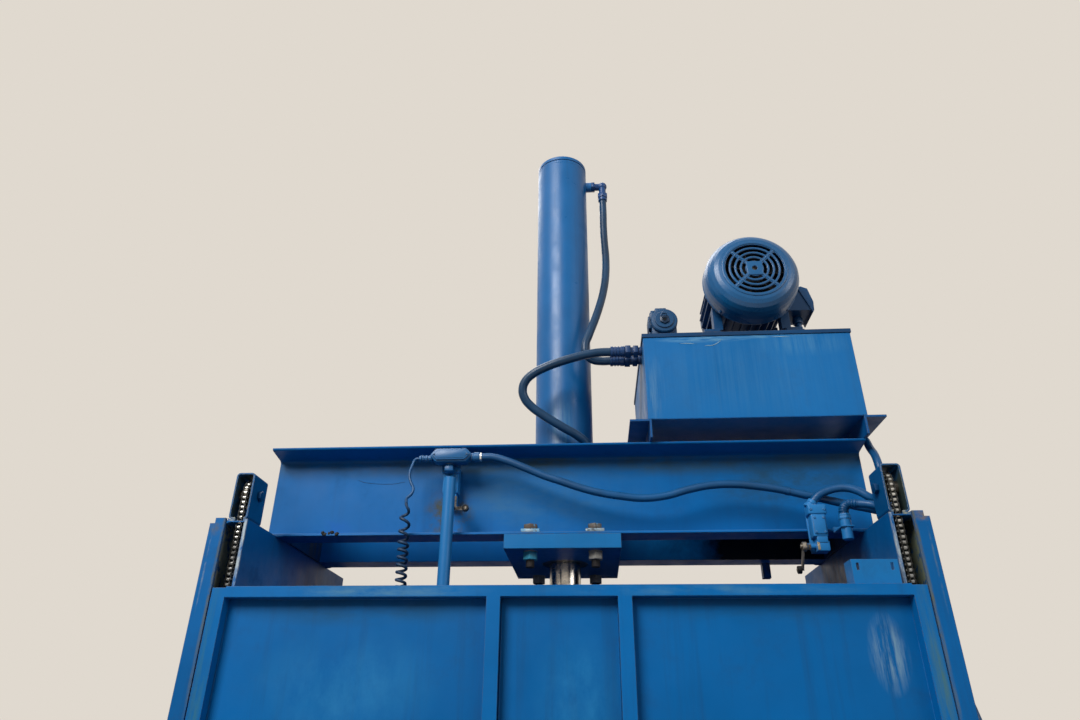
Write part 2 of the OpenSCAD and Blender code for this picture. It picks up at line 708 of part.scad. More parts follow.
// Finned motor body with end shields and feet
module motor_body() color(blue) difference() {
    union() {
        translate([motor_x, motor_y0, motor_z]) rotate([-90, 0, 0])
            linear_extrude(height = motor_l - 20) {
            circle(r = motor_core_r, $fn = 96);
            for (i = [0:fin_count - 1]) rotate(i * 360 / fin_count)
                translate([motor_core_r - 4, -1.75]) square([motor_fin_r - motor_core_r + 4, 3.5]);
        }
        rod_y([motor_x, motor_y1 - 20, motor_z], 2 * motor_core_r + 30, 20);
        rod_y([motor_x, motor_y0 - 8, motor_z], cowl_d - 8, 14);
        block([motor_x + 80, -70, motor_z - 60], [motor_x + motor_fin_r + 1, 14, motor_z + 2]);
        for (x = [-1, 1], y = [motor_y0 + 24, motor_y1 - 74]) {
            translate([motor_x + x * motor_rail_x, 0, 0])
                block([-25, y, motor_foot_z], [25, y + 50, motor_foot_z + 16]);
            translate([motor_x + x * (motor_rail_x - 22), 0, 0])
                block([-14, y + 8, motor_foot_z + 16], [14, y + 42, motor_z - 60]);
        }
    }
    rod_y([motor_x, motor_y0 - 9, motor_z], motor_shaft_d + 2 * run_gap, motor_l + 10);
}

// Pressed fan cowl with rings of curved slots in its front
module motor_cowl() color(blue) translate([motor_x, cowl_front, motor_z]) rotate([-90, 0, 0])
    difference() {
        rotate_extrude($fn = 96) polygon(concat(
            [[0, 0], [cowl_face_r, 0]],
            [for (a = [0:15:90])
                [cowl_face_r + (cowl_d / 2 - cowl_face_r) * sin(a), cowl_nose * (1 - cos(a))]],
            [[cowl_d / 2, cowl_skirt], [cowl_d / 2 - cowl_t, cowl_skirt],
                [cowl_d / 2 - cowl_t, cowl_nose]],
            [for (a = [75:-15:0])
                [cowl_face_r + (cowl_d / 2 - cowl_face_r - cowl_t) * sin(a),
                    cowl_nose - (cowl_nose - cowl_t) * cos(a)]],
            [[0, cowl_t]]));
        for (ring = [0:3], quarter = [0:3]) rotate(quarter * 90 + 45)
            cowl_slot(28 + ring * 17, 28 + ring * 17 + 10);
        translate([0, 0, -1]) cylinder(d = 16, h = 8);
    }

// One curved slot that leaves the four spokes standing
module cowl_slot(r0, r1) translate([0, 0, -1]) linear_extrude(height = 8) difference() {
    circle(r = r1, $fn = 64);
    circle(r = r0, $fn = 64);
    for (a = [0, 90]) rotate(a) translate([-120, -6]) square([240, 12]);
    translate([-120, -120]) square([240, 120]);
    translate([-120, -120]) square([120, 240]);
}

// Terminal box on the motor's right side: slanted lid, and a cable gland underneath
module terminal_box() color(blue) translate([motor_x, 0, motor_z]) {
    x0 = motor_fin_r + 1;
    translate([0, -75, 0]) rotate([90, 0, 0]) mirror([0, 0, 1]) linear_extrude(height = 95)
        polygon([[x0, -66], [199, -66], [166, 19], [x0, 4]]);
    translate([0, -79, 0]) rotate([90, 0, 0]) mirror([0, 0, 1]) linear_extrude(height = 103)
        polygon([[199, -66], [202, -77], [207, -69], [209, -37], [197, 13], [177, 22], [166, 19]]);
    rod_z([conduit_motor_route[0][0] - motor_x, conduit_motor_route[0][1],
        conduit_motor_route[0][2] - motor_z], 27, motor_z - 66 - conduit_motor_route[0][2]);
}

// Gear pump on a bell housing behind the motor
module hydraulic_pump() color(navy) difference() {
    union() {
        rod_y([motor_x, motor_y1, motor_z], 200, 14);
        rod_y([motor_x, motor_y1 + 14, motor_z], 150, 50);
        block([motor_x - 52, motor_y1 + 64, motor_z - 60], [motor_x + 52, motor_y1 + 130, motor_z + 60]);
        rod_x([motor_x - 70, motor_y1 + 100, motor_z], 36, 140);
    }
    rod_y([motor_x, motor_y1 - 1, motor_z], motor_shaft_d + 2 * run_gap, 56);
}

// Short length of rectangular tube that houses the chain wheel, open front and back
module sprocket_box() {
    difference() {
        translate([box_in + box_w / 2, box_front, beam_z + box_h / 2]) rotate([-90, 0, 0])
            linear_extrude(height = box_d) difference() {
                round_rect(box_w, box_h, 9);
                round_rect(box_w - 2 * box_t, box_h - 2 * box_t, 5);
            }
        chain_notch(beam_z - 1, beam_z + box_t + 6);
        rod_x([box_in - 1, axle_y, axle_z], axle_d + 2 * run_gap, box_w + 2);
    }
}

module sprocket_box_left() color(blue) left() sprocket_box();
module sprocket_box_right() color(blue) sprocket_box();

// Bolts on which the chain wheels turn
module sprocket_axles() color(blue) for (s = [0, 1]) mirror([s, 0, 0]) {
    hex_x([box_in - 10, axle_y, axle_z], 24, 10);
    rod_x([box_in, axle_y, axle_z], axle_d, box_w + 12);
    hex_x([box_in + box_w, axle_y, axle_z], 24, 9);
}

// Chain wheel with one seat per roller
module sprocket() {
    translate([chain_x, axle_y, axle_z]) rotate([90, 0, 90]) difference() {
        union() {
            translate([0, 0, -3.6]) linear_extrude(height = 7.2) difference() {
                circle(r = wheel_r, $fn = 96);
                for (i = [0:teeth - 1]) rotate(180 - i * wrap_step) {
                    translate([pitch_r, 0]) circle(d = roller_d + 0.4, $fn = 24);
                    translate([pitch_r + 4.4, 0]) circle(d = roller_d + 3.4, $fn = 24);
                }
            }
            translate([0, 0, box_in + box_t + part_gap - chain_x])
                cylinder(d = 36, h = box_w - 2 * box_t - 2 * part_gap);
        }
        translate([0, 0, -40]) cylinder(d = axle_d + 2 * run_gap, h = 80);
    }
}

module sprocket_left() color(dark_steel) left() sprocket();
module sprocket_right() color(dark_steel) sprocket();

// Places of the chain's pins: up the front run, over the wheel and down the rear run
function chain_pins() = concat(
    [for (i = [front_pitches:-1:1]) [front_run_y, axle_z - i * chain_pitch]],
    [for (i = [0:wrap_pitches]) let (a = 180 - i * wrap_step)
        [axle_y + pitch_r * cos(a), axle_z + pitch_r * sin(a)]],
    [for (i = [0:rear_pitches - 1]) [rear_run_y, axle_z + rear_start - i * chain_pitch]]);

// One link plate between two pins, in the plane of the chain
module link_plate(a, b) {
    d = b - a;
    translate(a) rotate(atan2(d[1], d[0])) polygon([
        [-link_h / 2 * 0.5, -link_h / 2], [chain_pitch + link_h / 4, -link_h / 2],
        [chain_pitch + link_h / 2, 0], [chain_pitch + link_h / 4, link_h / 2],
        [-link_h / 4, link_h / 2], [-link_h / 2, 0]]);
}

// Roller chain: inner and outer plates by turns, and a roller at every pin
module chain() {
    pins = chain_pins();
    last = len(pins) - 1;
    for (i = [0:last - 1]) {
        x = i % 2 == 0 ? plate_half + link_t + 0.2 : plate_half;
        for (side = [-1, 1]) translate([side > 0 ? chain_x + x : chain_x - x - link_t, 0, 0])
            rotate([90, 0, 90]) linear_extrude(height = link_t)
                link_plate(pins[i], pins[i + 1]);
    }
    for (i = [1:last - 1]) translate([chain_x - plate_half, pins[i][0], pins[i][1]])
        rotate([0, 90, 0]) rotate(22.5) cylinder(d = roller_d, h = 2 * plate_half, $fn = 8);
    // end pins, held by the gate's lug and by the counterweight
    for (i = [0, last]) translate([chain_x - 11.5, pins[i][0], pins[i][1]])
        rotate([0, 90, 0]) cylinder(d = 4, h = plate_half + link_t + 13.5 + i / last * 2, $fn = 24);
}

module chain_left() color(steel) left() chain();
module chain_right() color(steel) chain();

// Counterweight: a steel bar grooved beside the chain's rear run
module counterweight() difference() {
    block([wall_out + 4, rear_run_y - 48, weight_top - weight_h], [post_out - flange_t - 3,
        post_rear() - flange_t - 10, weight_top]);
    block([wall_out + 3, rear_run_y - 9, weight_top - weight_h - 1],
        [chain_x + 10, rear_run_y + 9, weight_top + 1]);
    rod_x([chain_x, rear_run_y, weight_pin_z], 4.4, 24);
}

module counterweight_left() color(dark_steel) left() counterweight();
module counterweight_right() color(dark_steel) counterweight();

// Limit switch on the front web, which the platen's tube works
lever_l = [-306, -web_y - 63.5, gate_top_z + 274];
module limit_switch_left() color(blue) {
    z = lever_l[2];
    block([lever_l[0] - 30, -web_y - 41.5, z + 20], [lever_l[0] + 14, -web_y, z + 98]);
    block([lever_l[0] - 34, -web_y - 47.5, z + 76], [lever_l[0] + 18, -web_y - 41.5, z + 102]);
    block([lever_l[0] - 26, -web_y - 37.5, z - 12], [lever_l[0] + 10, -web_y - 6, z + 20]);
    rod_y([lever_l[0], lever_l[1] + 2.5, z], 14, 26);
    rod_y([lever_l[0], lever_l[1] - 12, z], 6, 30);
    rod_z([lever_l[0] - 8, -web_y - 26.5, z + 98], 22, 8);
}

// Cast conduit body over the switch, with a cover and three hubs
module conduit_body() color(blue) {
    p = conduit_long_route[0];
    q = lead_route[0] + [1.3, 0, 0];
    c = [(p[0] + q[0]) / 2 + 6, p[1] - 2, p[2] + 1];
    translate(c) {
        translate([0, 18, 0]) rotate([90, 0, 0]) linear_extrude(height = 34)
            polygon([[-62, -3], [-46, -19], [38, -19], [54, -3], [54, 5], [38, 21], [-46, 21], [-62, 5]]);
        translate([0, -16, 1]) rotate([90, 0, 0]) linear_extrude(height = 5)
            polygon([[-56, -2], [-43, -15], [35, -15], [48, -2], [48, 4], [35, 17], [-43, 17], [-56, 4]]);
    }
    rod_x([c[0] + 54, p[1], p[2]], 28, p[0] - c[0] - 54);
    rod_x(q, 18, c[0] - 56 - q[0]);
    // neck and clamp down to the switch
    rod_z([lever_l[0] - 8, p[1] + 6, p[2] - 39], 20, 24);
    block([lever_l[0] - 20, p[1] - 4, p[2] - 39], [lever_l[0] + 4, -web_y - 47.5, p[2] - 23]);
}

// Roller lever of a limit switch: arm and roller, turned about its shaft
module lever_left() color(steel) {
    c = lever_l;
    difference() {
        rod_y([c[0], c[1] - 10, c[2]], 22, 12);
        rod_y([c[0], c[1] - 11, c[2]], 6 + 2 * run_gap, 20);
    }
    block([c[0] + 8, c[1] - 9, c[2] - 38], [c[0] + 18, c[1] - 3, c[2] + 2]);
    block([c[0] + 8, c[1] - 9, c[2] - 38], [c[0] + 44, c[1] - 3, c[2] - 28]);
    rod_y([c[0] + 44, c[1] - 16, c[2] - 33], 18, 13);
}

// Limit switch on a bracket under the beam's front lip
lever_r = [612, -lip_y - 21.5, gate_top_z + 126];
module limit_switch_right() color(blue) {
    z = lever_r[2];
    block([lever_r[0] + 24, -lip_y - 6, z - 14], [lever_r[0] + 64, -lip_y, beam_z + 60]);
    block([lever_r[0] + 26, -lip_y - 41.5, z + 20], [lever_r[0] + 64, -lip_y - 6, z + 90]);
    block([lever_r[0] + 22, -lip_y - 43.5, z + 78], [lever_r[0] + 68, -lip_y - 6, z + 104]);
    block([lever_r[0] + 32, -lip_y - 37.5, z - 14], [lever_r[0] + 64, -lip_y - 10, z + 20]);
    rod_x([lever_r[0] + 9.5, lever_r[1], z], 14, 24);
    rod_x([lever_r[0] - 4, lever_r[1], z], 6, 30);
    // gland in line with the conduit's first bend
    p = conduit_switch_route[0];
    d = conduit_switch_route[1] - p;
    translate(p) rotate([0, 0, atan2(d[1], d[0])]) rotate([0, atan2(norm([d[0], d[1]]), d[2]), 0])
        translate([0, 0, -24]) cylinder(d = 26, h = 23.7);
}

module lever_right() color(steel) {
    c = lever_r;
    difference() {
        rod_x([c[0] - 2, c[1], c[2]], 24, 11);
        rod_x([c[0] - 3, c[1], c[2]], 6 + 2 * run_gap, 20);
    }
    translate(c) rotate([35, 0, 0]) {
        block([-2, -6, -62], [4, 6, -8]);
        rod_x([-12, 0, -62], 20, 10);
    }
}

// Sensor over the gate's flag, on a bracket from the beam's lip
module gate_sensor() color(blue) {
    p = conduit_sensor_route[0];
    rod_z([p[0], p[1], gate_top_z + 134], 27, 52);
    rod_z([p[0], p[1], gate_top_z + 186], 22, p[2] - gate_top_z - 186);
    hex_z([p[0], p[1], gate_top_z + 186], 28, 8);
    difference() {
        block([p[0] - 16, p[1] - 16, gate_top_z + 164], [p[0] + 16, -lip_y, gate_top_z + 168]);
        rod_z([p[0], p[1], gate_top_z + 160], 26.9, 12);
    }
    block([p[0] - 16, -lip_y - 4, gate_top_z + 164], [p[0] + 16, -lip_y, beam_z + 10]);
}

module conduit_long() color(navy) sweep(conduit_long_route, conduit_d);

module conduit_branches() color(navy) {
    sweep(conduit_switch_route, conduit_d);
    sweep(conduit_sensor_route, conduit_d);
    sweep(conduit_motor_route, conduit_d);
    sweep(lead_route, lead_d);
}

// The coiled stretch of the cord down to the platen
module curly_cord() color(black)
    sweep([for (i = [0:4]) coil_top + (coil_bottom - coil_top) * i / 4], coil_d, 10);

// Electrical cabinet on the right guide post
module control_box() color(blue) {
    difference() {
        block([control_x0, control_front, control_z0],
            [control_x0 + control_w, control_front + control_d, control_z0 + control_h]);
        block([control_x0 + 2, control_front - 1, control_z0 + 2],
            [control_x0 + control_w - 2, control_front + control_d - 2, control_z0 + control_h - 2]);
    }
    for (z = [40, control_h - 70])
        block([post_out, control_front + 20, control_z0 + z], [control_x0, post_rear(), control_z0 + z + 30]);
    for (z = cabinet_hinges()) {
        h = cabinet_hinge();
        rod_z([h[0], h[1], z], 14, 22);
        rod_z([h[0], h[1], z], 8, 44);
        block([control_x0 + control_w, h[1] - 1, z], [h[0], h[1] + 7, z + 22]);
    }
    for (r = [conduit_long_route, conduit_switch_route, conduit_sensor_route, conduit_motor_route]) {
        p = r[len(r) - 1];
        rod_z([p[0], p[1], control_z0 + control_h], 30, p[2] - control_z0 - control_h);
    }
}

// Axis and heights of the cabinet door's two lift-off hinges
function cabinet_hinge() = [control_x0 + control_w + 10, control_front + 2];
function cabinet_hinges() = [control_z0 + 60, control_z0 + control_h - 100];

// Chromed rod with the flange that bolts to the platen
module piston_rod() color(chrome) {
    rod_z([0, 0, platen_top], rod_d, piston_top - piston_h - platen_top);
    rod_z([0, 0, platen_top], rod_d + 81, 22);
    for (a = [45:90:315]) rotate(a) hex_z([rod_d / 2 + 21.5, 0, platen_top + 22], 19, 9);
}

// Piston with two seal grooves
module piston() color(steel) rotate_extrude($fn = 96) {
    z = piston_top - piston_h;
    r = bore_d / 2 - part_gap;
    polygon([[0, z], [r, z], [r, z + 14], [r - 5, z + 14], [r - 5, z + 22], [r, z + 22],
        [r, z + 38], [r - 5, z + 38], [r - 5, z + 46], [r, z + 46], [r, piston_top], [0, piston_top]]);
}

// Platen: pressing plate under a welded grid of ribs
module platen() color(blue) {
    top = platen_top - 12;
    block([-platen_half, platen_front, platen_bottom], [platen_half, platen_rear, platen_bottom + platen_t]);
    for (s = [0, 1]) mirror([s, 0, 0])
        block([platen_half - platen_rib, platen_front, platen_bottom], [platen_half, platen_rear, top]);
    for (y = [platen_front, -70, 70 - platen_rib, platen_rear - platen_rib])
        block([-platen_half, y, platen_bottom], [platen_half, y + platen_rib, top]);
    for (i = [-2:2])
        block([i * platen_half / 3 - platen_rib / 2, platen_front, platen_bottom],
            [i * platen_half / 3 + platen_rib / 2, platen_rear, top]);
    block([-120, -110, top], [120, 110, platen_top]);
    rod_z([coil_bottom[0], coil_bottom[1], platen_bottom], 34,
        coil_bottom[2] - 0.7 - platen_bottom);
}

// Wear blocks at the platen's corners
module platen_shoes() color(black) for (x = [-1, 1], y = [platen_front + 20, platen_rear - 100]) {
    block([min(x * platen_half, x * (wall_in - slide_gap)), y, platen_bottom + 10],
        [max(x * platen_half, x * (wall_in - slide_gap)), y + 80, platen_top - 20]);
}

// Tube that stands on the platen and works the left limit switch
module trip_tube() color(blue) difference() {
    rod_z([trip_tube_x, trip_tube_y, platen_bottom + platen_t], trip_tube_d,
        gate_top_z + trip_tube_rise - platen_bottom - platen_t);
    rod_z([trip_tube_x, trip_tube_y, platen_bottom + platen_t - 1], trip_tube_d - 5,
        gate_top_z + trip_tube_rise - platen_bottom - platen_t - 3);
}

// Gate frame: top and bottom rails, folded stiles that hook behind the posts, two ribs, two lugs
module gate_frame() color(blue) {
    for (z = [gate_bottom_z, gate_top_z - rail_h])
        difference() {
            block([-gate_in, gate_y, z], [gate_in, gate_y + gate_depth, z + rail_h]);
            block([-gate_in - 1, gate_y + 3, z + 3], [gate_in + 1, gate_y + gate_depth - 3, z + rail_h - 3]);
        }
    for (s = [0, 1]) mirror([s, 0, 0]) {
        translate([0, 0, gate_bottom_z]) linear_extrude(height = gate_h - 3) {
            translate([gate_in, gate_y]) square([stile_w, gate_metal]);
            translate([gate_in, gate_y]) square([gate_metal, gate_depth]);
            translate([gate_half - gate_metal, gate_y]) square([gate_metal, flange_t + 6]);
            translate([gate_half - gate_metal, gate_y + flange_t + 2])
                square([post_flange_w - flange_t - 1, gate_metal]);
        }
        chain_lug();
        // angle rib
        translate([0, 0, gate_bottom_z + rail_h]) linear_extrude(height = gate_h - 2 * rail_h) {
            translate([rib_x - rib_w / 2, gate_y]) square([rib_w, gate_metal]);
            translate([rib_x + rib_w / 2 - gate_metal, gate_y])
                square([gate_metal, gate_depth - gate_sheet_t]);
        }
    }
}

// Ears on the stile that hold the chain's end pin
module chain_lug() {
    z = lug_z;
    difference() {
        for (x = [-12.5, 9])
            block([chain_x + x, gate_y + flange_t + 6, z - 14], [chain_x + x + 3.5, front_run_y + 8, z + 20]);
        rod_x([chain_x - 20, front_run_y, z], 4.6, 40);
    }
    block([chain_x - 12.5, gate_y + flange_t + 2, z - 14], [chain_x + 12.5, gate_y + flange_t + 10, z + 20]);
}

// Sheet set into the back of the gate frame
module gate_panel() color(blue)
    block([-gate_in + part_gap, gate_y + gate_depth - gate_sheet_t, gate_bottom_z + rail_h + part_gap],
        [gate_in - part_gap, gate_y + gate_depth, gate_top_z - rail_h - part_gap]);

// Bent flag on the gate's top rail
module gate_flag() color(blue) {
    x1 = gate_in - 14;
    difference() {
        block([x1 - flag_w, gate_y + 14, gate_top_z], [x1, gate_y + 18, gate_top_z + flag_h]);
        for (x = [14, flag_w - 14])
            block([x1 - x - 3, gate_y + 13, gate_top_z + flag_h - 24], [x1 - x + 3, gate_y + 19,
                gate_top_z + flag_h - 8]);
    }
    block([x1 - flag_w, gate_y + 14, gate_top_z], [x1 - flag_w + 4, gate_y + 62, gate_top_z + flag_h]);
    block([x1 - flag_w, gate_y + 14, gate_top_z], [x1, gate_y + 30, gate_top_z + 4]);
}

// Motor shaft from the fan through the motor into the pump coupling
module motor_shaft() color(steel) {
    rod_y([motor_x, cowl_front + 22, motor_z], 28, motor_y0 - cowl_front - 22);
    rod_y([motor_x, motor_y0, motor_z], motor_shaft_d, motor_l + 50);
}

// Fan with straight radial blades behind the cowl's slots
module motor_fan() color(black) translate([motor_x, cowl_front + 30, motor_z]) rotate([-90, 0, 0])
    difference() {
        union() {
            cylinder(d = 70, h = 44);
            translate([0, 0, 36]) cylinder(d = 230, h = 4);
            for (i = [0:6]) rotate(i * 360 / 7) translate([30, -2, 0]) cube([82, 4, 37]);
        }
        translate([0, 0, -1]) cylinder(d = 28, h = 60);
    }

// Chamber door: skin with tie slots and box ribs behind it
module chamber_door() color(blue) {
    xs = slot_xs();
    edge_l = hinge_x + 16;
    difference() {
        union() {
            block([edge_l, door_skin_y, door_z0], [door_half, door_skin_y + door_skin_t, door_z1]);
            for (i = [0:len(xs)]) {
                x0 = i == 0 ? edge_l : xs[i - 1] + 24;
                x1 = i == len(xs) ? latch_x - 40 : xs[i] - 24;
                difference() {
                    block([x0, door_skin_y + door_skin_t, door_z0], [x1, -lining_y, door_z1]);
                    block([x0 + 5, door_skin_y + door_skin_t, door_z0 - 1], [x1 - 5, -lining_y - 5,
                        door_z1 + 1]);
                }
            }
            // closing bar beside the latch
            block([door_half - 6, door_skin_y + door_skin_t, latch_z + 60], [door_half, -lining_y, door_z1]);
        }
        for (x = xs) block([x - tie_slot_w / 2, door_skin_y - 1, door_z0 + 60],
            [x + tie_slot_w / 2, door_skin_y + door_skin_t + 1, door_z1 - 60]);
        rod_y([latch_x, door_skin_y - 1, latch_z], 20 + 2 * run_gap, 10);
    }
    for (z = hinge_zs) difference() {
        union() {
            rod_z([hinge_x, hinge_y, z + 1], knuckle_d, knuckle_h);
            block([hinge_x, hinge_y - 12, z + 1], [edge_l, hinge_y + 4, z + 1 + knuckle_h]);
        }
        rod_z([hinge_x, hinge_y, z], hinge_pin_d + 2 * run_gap, knuckle_h - 4);
    }
}

// Hand wheel and the finger that turns behind the side plate
module door_latch() color(steel) translate([latch_x, 0, latch_z]) {
    y0 = door_skin_y - 38;
    rod_y([0, y0, 0], 20, -y0 + door_skin_y + door_skin_t + 14);
    block([-14, door_skin_y + door_skin_t + 2, -latch_reach], [14, door_skin_y + door_skin_t + 12, 12]);
    rod_y([0, y0 - 4, 0], 44, 20);
    translate([0, y0 + 6, 0]) rotate([90, 0, 0]) {
        rotate_extrude($fn = 64) translate([wheel_d / 2 - 9, 0]) circle(d = 18, $fn = 24);
        for (i = [0:2]) rotate(90 + i * 120) rotate([0, 90, 0]) cylinder(d = 14, h = wheel_d / 2 - 8);
    }
}

// Hinged door of the electrical cabinet
module control_door() color(blue) {
    x1 = control_x0 + control_w;
    difference() {
        block([control_x0 - 2, control_front - 14, control_z0 - 2], [x1 + 2, control_front - part_gap,
            control_z0 + control_h + 2]);
        block([control_x0, control_front - 12, control_z0], [x1, control_front, control_z0 + control_h]);
        for (z = button_zs()) rod_y([button_x(), control_front - 20, z], 22 + 2 * run_gap, 20);
    }
    h = cabinet_hinge();
    for (z = cabinet_hinges()) difference() {
        union() {
            rod_z([h[0], h[1], z + 22 + part_gap], 14, 22);
            block([x1 + 2, h[1] - 14, z + 22 + part_gap], [h[0], h[1] - 2.5, z + 44]);
        }
        rod_z([h[0], h[1], z + 20], 8 + 2 * run_gap, 30);
    }
}

function button_x() = control_x0 + control_w / 2;
function button_zs() = [control_z0 + control_h - 110, control_z0 + control_h - 190];

// Push button with its guide stem
module start_button() color([0.10, 0.45, 0.18]) {
    rod_y([button_x(), control_front - 22, button_zs()[0]], 22, 18);
}

// Mushroom stop button
module stop_button() color([0.70, 0.08, 0.06]) {
    rod_y([button_x(), control_front - 26, button_zs()[1]], 22, 22);
    rod_y([button_x(), control_front - 36, button_zs()[1]], 40, 12);
}

base_frame();
floor_plate();
side_wall_left();
side_wall_right();
rear_wall();
post_left();
post_right();
feed_sill();
beam_front();
beam_rear();
mount_plate();
mount_bolts();
cylinder_barrel();
cylinder_cap();
rod_gland();
hose_fittings();
hose_top();
hose_bottom();
oil_tank();
tank_lid();
tank_rails();
valve_body();
motor_body();
motor_cowl();
terminal_box();
hydraulic_pump();
sprocket_box_left();
sprocket_box_right();
sprocket_axles();
chain_left();
chain_right();
limit_switch_left();
conduit_body();
limit_switch_right();
gate_sensor();
conduit_long();
conduit_branches();
curly_cord();
control_box();
piston_rod();
piston();
platen();
platen_shoes();
trip_tube();
gate_frame();
gate_panel();
gate_flag();
sprocket_left();
sprocket_right();
counterweight_left();
counterweight_right();
motor_shaft();
motor_fan();
lever_left();
lever_right();
chamber_door();
door_latch();
control_door();
start_button();
stop_button();
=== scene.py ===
import math
import random
import bpy
from mathutils import Euler, Matrix, Vector, noise


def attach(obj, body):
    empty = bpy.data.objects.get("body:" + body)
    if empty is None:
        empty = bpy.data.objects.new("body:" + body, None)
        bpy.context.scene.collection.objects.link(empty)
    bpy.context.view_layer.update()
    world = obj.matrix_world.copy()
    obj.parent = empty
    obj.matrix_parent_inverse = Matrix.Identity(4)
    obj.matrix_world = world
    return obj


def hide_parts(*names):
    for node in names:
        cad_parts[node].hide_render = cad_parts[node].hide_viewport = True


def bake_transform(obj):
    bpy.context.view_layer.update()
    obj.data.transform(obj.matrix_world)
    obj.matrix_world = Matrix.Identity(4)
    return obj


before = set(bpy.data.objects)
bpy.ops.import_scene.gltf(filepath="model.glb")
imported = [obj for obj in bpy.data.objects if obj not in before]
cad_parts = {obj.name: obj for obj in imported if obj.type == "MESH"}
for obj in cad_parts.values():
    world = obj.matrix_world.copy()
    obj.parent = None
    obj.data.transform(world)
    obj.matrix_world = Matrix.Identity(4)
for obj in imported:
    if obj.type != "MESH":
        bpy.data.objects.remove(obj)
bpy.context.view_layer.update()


# Camera, floor and lights. The camera is held at eye height in front of the machine, a little
# to the right of its middle, and looks up at the beams and the power unit.
def select_only(*pieces):
    if bpy.context.object and bpy.context.object.mode != "OBJECT":
        bpy.ops.object.mode_set(mode="OBJECT")
    bpy.ops.object.select_all(action="DESELECT")
    for piece in pieces:
        piece.select_set(True)
    if pieces:
        bpy.context.view_layer.objects.active = pieces[0]


def mm(*values):
    return Vector(v / 1000 for v in values)


def srgb(r, g, b):
    return tuple(((v / 255 + 0.055) / 1.055) ** 2.4 if v > 10 else v / 3295 for v in (r, g, b))


def add_node(tree, kind, inputs=(), **settings):
    made = tree.nodes.new("ShaderNode" + kind)
    for key, value in settings.items():
        setattr(made, key, value)
    for key, value in dict(inputs).items():
        if isinstance(value, bpy.types.NodeSocket):
            tree.links.new(value, made.inputs[key])
        else:
            colour = made.inputs[key].type == "RGBA"
            made.inputs[key].default_value = (*value, 1) if colour else value
    return made


def maths(operation, first, second):
    return add_node(first.id_data, "Math", {0: first, 1: second}, operation=operation).outputs[0]


def layer(amount, below, above):
    mix = add_node(amount.id_data, "Mix", {0: amount, 6: below, 7: above}, data_type="RGBA")
    return mix.outputs[2]


def new_finish(name):
    finish = bpy.data.materials.new(name)
    finish.use_nodes = True
    return finish, finish.node_tree, finish.node_tree.nodes["Principled BSDF"].inputs


# 1 for what the camera sees, also in a mirror or through glass, and 0 for what only gives light
def seen_by_camera(tree):
    rays = add_node(tree, "LightPath").outputs
    seen = maths("MAXIMUM", rays["Is Camera Ray"], rays["Is Glossy Ray"])
    return maths("MAXIMUM", seen, rays["Is Transmission Ray"])


tilted_up, turned_left, rolled = 0.47827, 0.07239, 0.008894
look = Euler((math.pi / 2 + tilted_up, 0, turned_left)).to_matrix()
look = look @ Matrix.Rotation(rolled, 3, "Z")
select_only()
bpy.ops.object.camera_add(location=mm(76.2, -2124.6, 1702.5), rotation=look.to_euler())
camera = bpy.context.object
camera.data.sensor_width = 36
camera.data.lens = 24.213
camera.data.clip_end = 60
bpy.context.scene.camera = camera
bpy.context.scene.view_settings.view_transform = "Standard"

pale_backdrop = srgb(224, 217, 207)
select_only()
bpy.ops.mesh.primitive_plane_add(size=24)
ground = bpy.context.object
ground.name = "studio_floor"
floor_finish, tree, shade = new_finish("studio_floor")
shade["Roughness"].default_value = 0.9
shade["Emission Color"].default_value = (*pale_backdrop, 1)
seen = seen_by_camera(tree)
tree.links.new(layer(seen, (0.16, 0.16, 0.16), srgb(172, 168, 162)), shade["Base Color"])
tree.links.new(maths("MULTIPLY", seen, 0.52), shade["Emission Strength"])
ground.data.materials.append(floor_finish)

for name, place, aim, size, power in [
        ("front_light", (-3.0, -5.4, 6.4), (0, 0, 2.3), 3.4, 590),
        ("right_light", (5.5, -4.2, 4.6), (0, 0, 2.4), 3.5, 120),
        ("top_light", (-1.5, 2.2, 7.5), (0, 0, 2.6), 4.0, 170)]:
    select_only()
    turn = (Vector(aim) - Vector(place)).to_track_quat("-Z", "Y").to_euler()
    bpy.ops.object.light_add(type="AREA", location=place, rotation=turn)
    bpy.context.object.name = name
    bpy.context.object.data.size = size
    bpy.context.object.data.energy = power

world = bpy.data.worlds.new("pale_room")
bpy.context.scene.world = world
world.use_nodes = True
sky = world.node_tree
sky.nodes.clear()
daylight = add_node(sky, "Background", {"Color": (0.76, 0.88, 1.0), "Strength": 0.15})
backdrop = add_node(sky, "Background", {"Color": pale_backdrop, "Strength": 1.0})
both = add_node(sky, "MixShader", {0: seen_by_camera(sky), 1: daylight.outputs[0],
        2: backdrop.outputs[0]})
add_node(sky, "OutputWorld", {0: both.outputs[0]})


# Oil hoses and conduits. All of them were sprayed over with the machine's blue paint, so the
# rubber and the plastic covers are blue too, dusty on top and rubbed bare in places.
def spread(source, low, high, least=0.0, most=1.0):
    return add_node(source.id_data, "MapRange",
        {0: source, 1: low, 2: high, 3: least, 4: most}).outputs[0]


def clouds(place, size, detail, rough):
    return add_node(place.id_data, "TexNoise", {"Vector": place, "Scale": size, "Detail": detail,
            "Roughness": rough}).outputs[0]


def stretched(place, scale, shift=(0, 0, 0)):
    return add_node(place.id_data, "Mapping",
        {"Vector": place, "Location": shift, "Scale": scale}).outputs[0]


def toned(colour, times, plus=0.0):
    return tuple(min(1, c * times + plus) for c in colour)


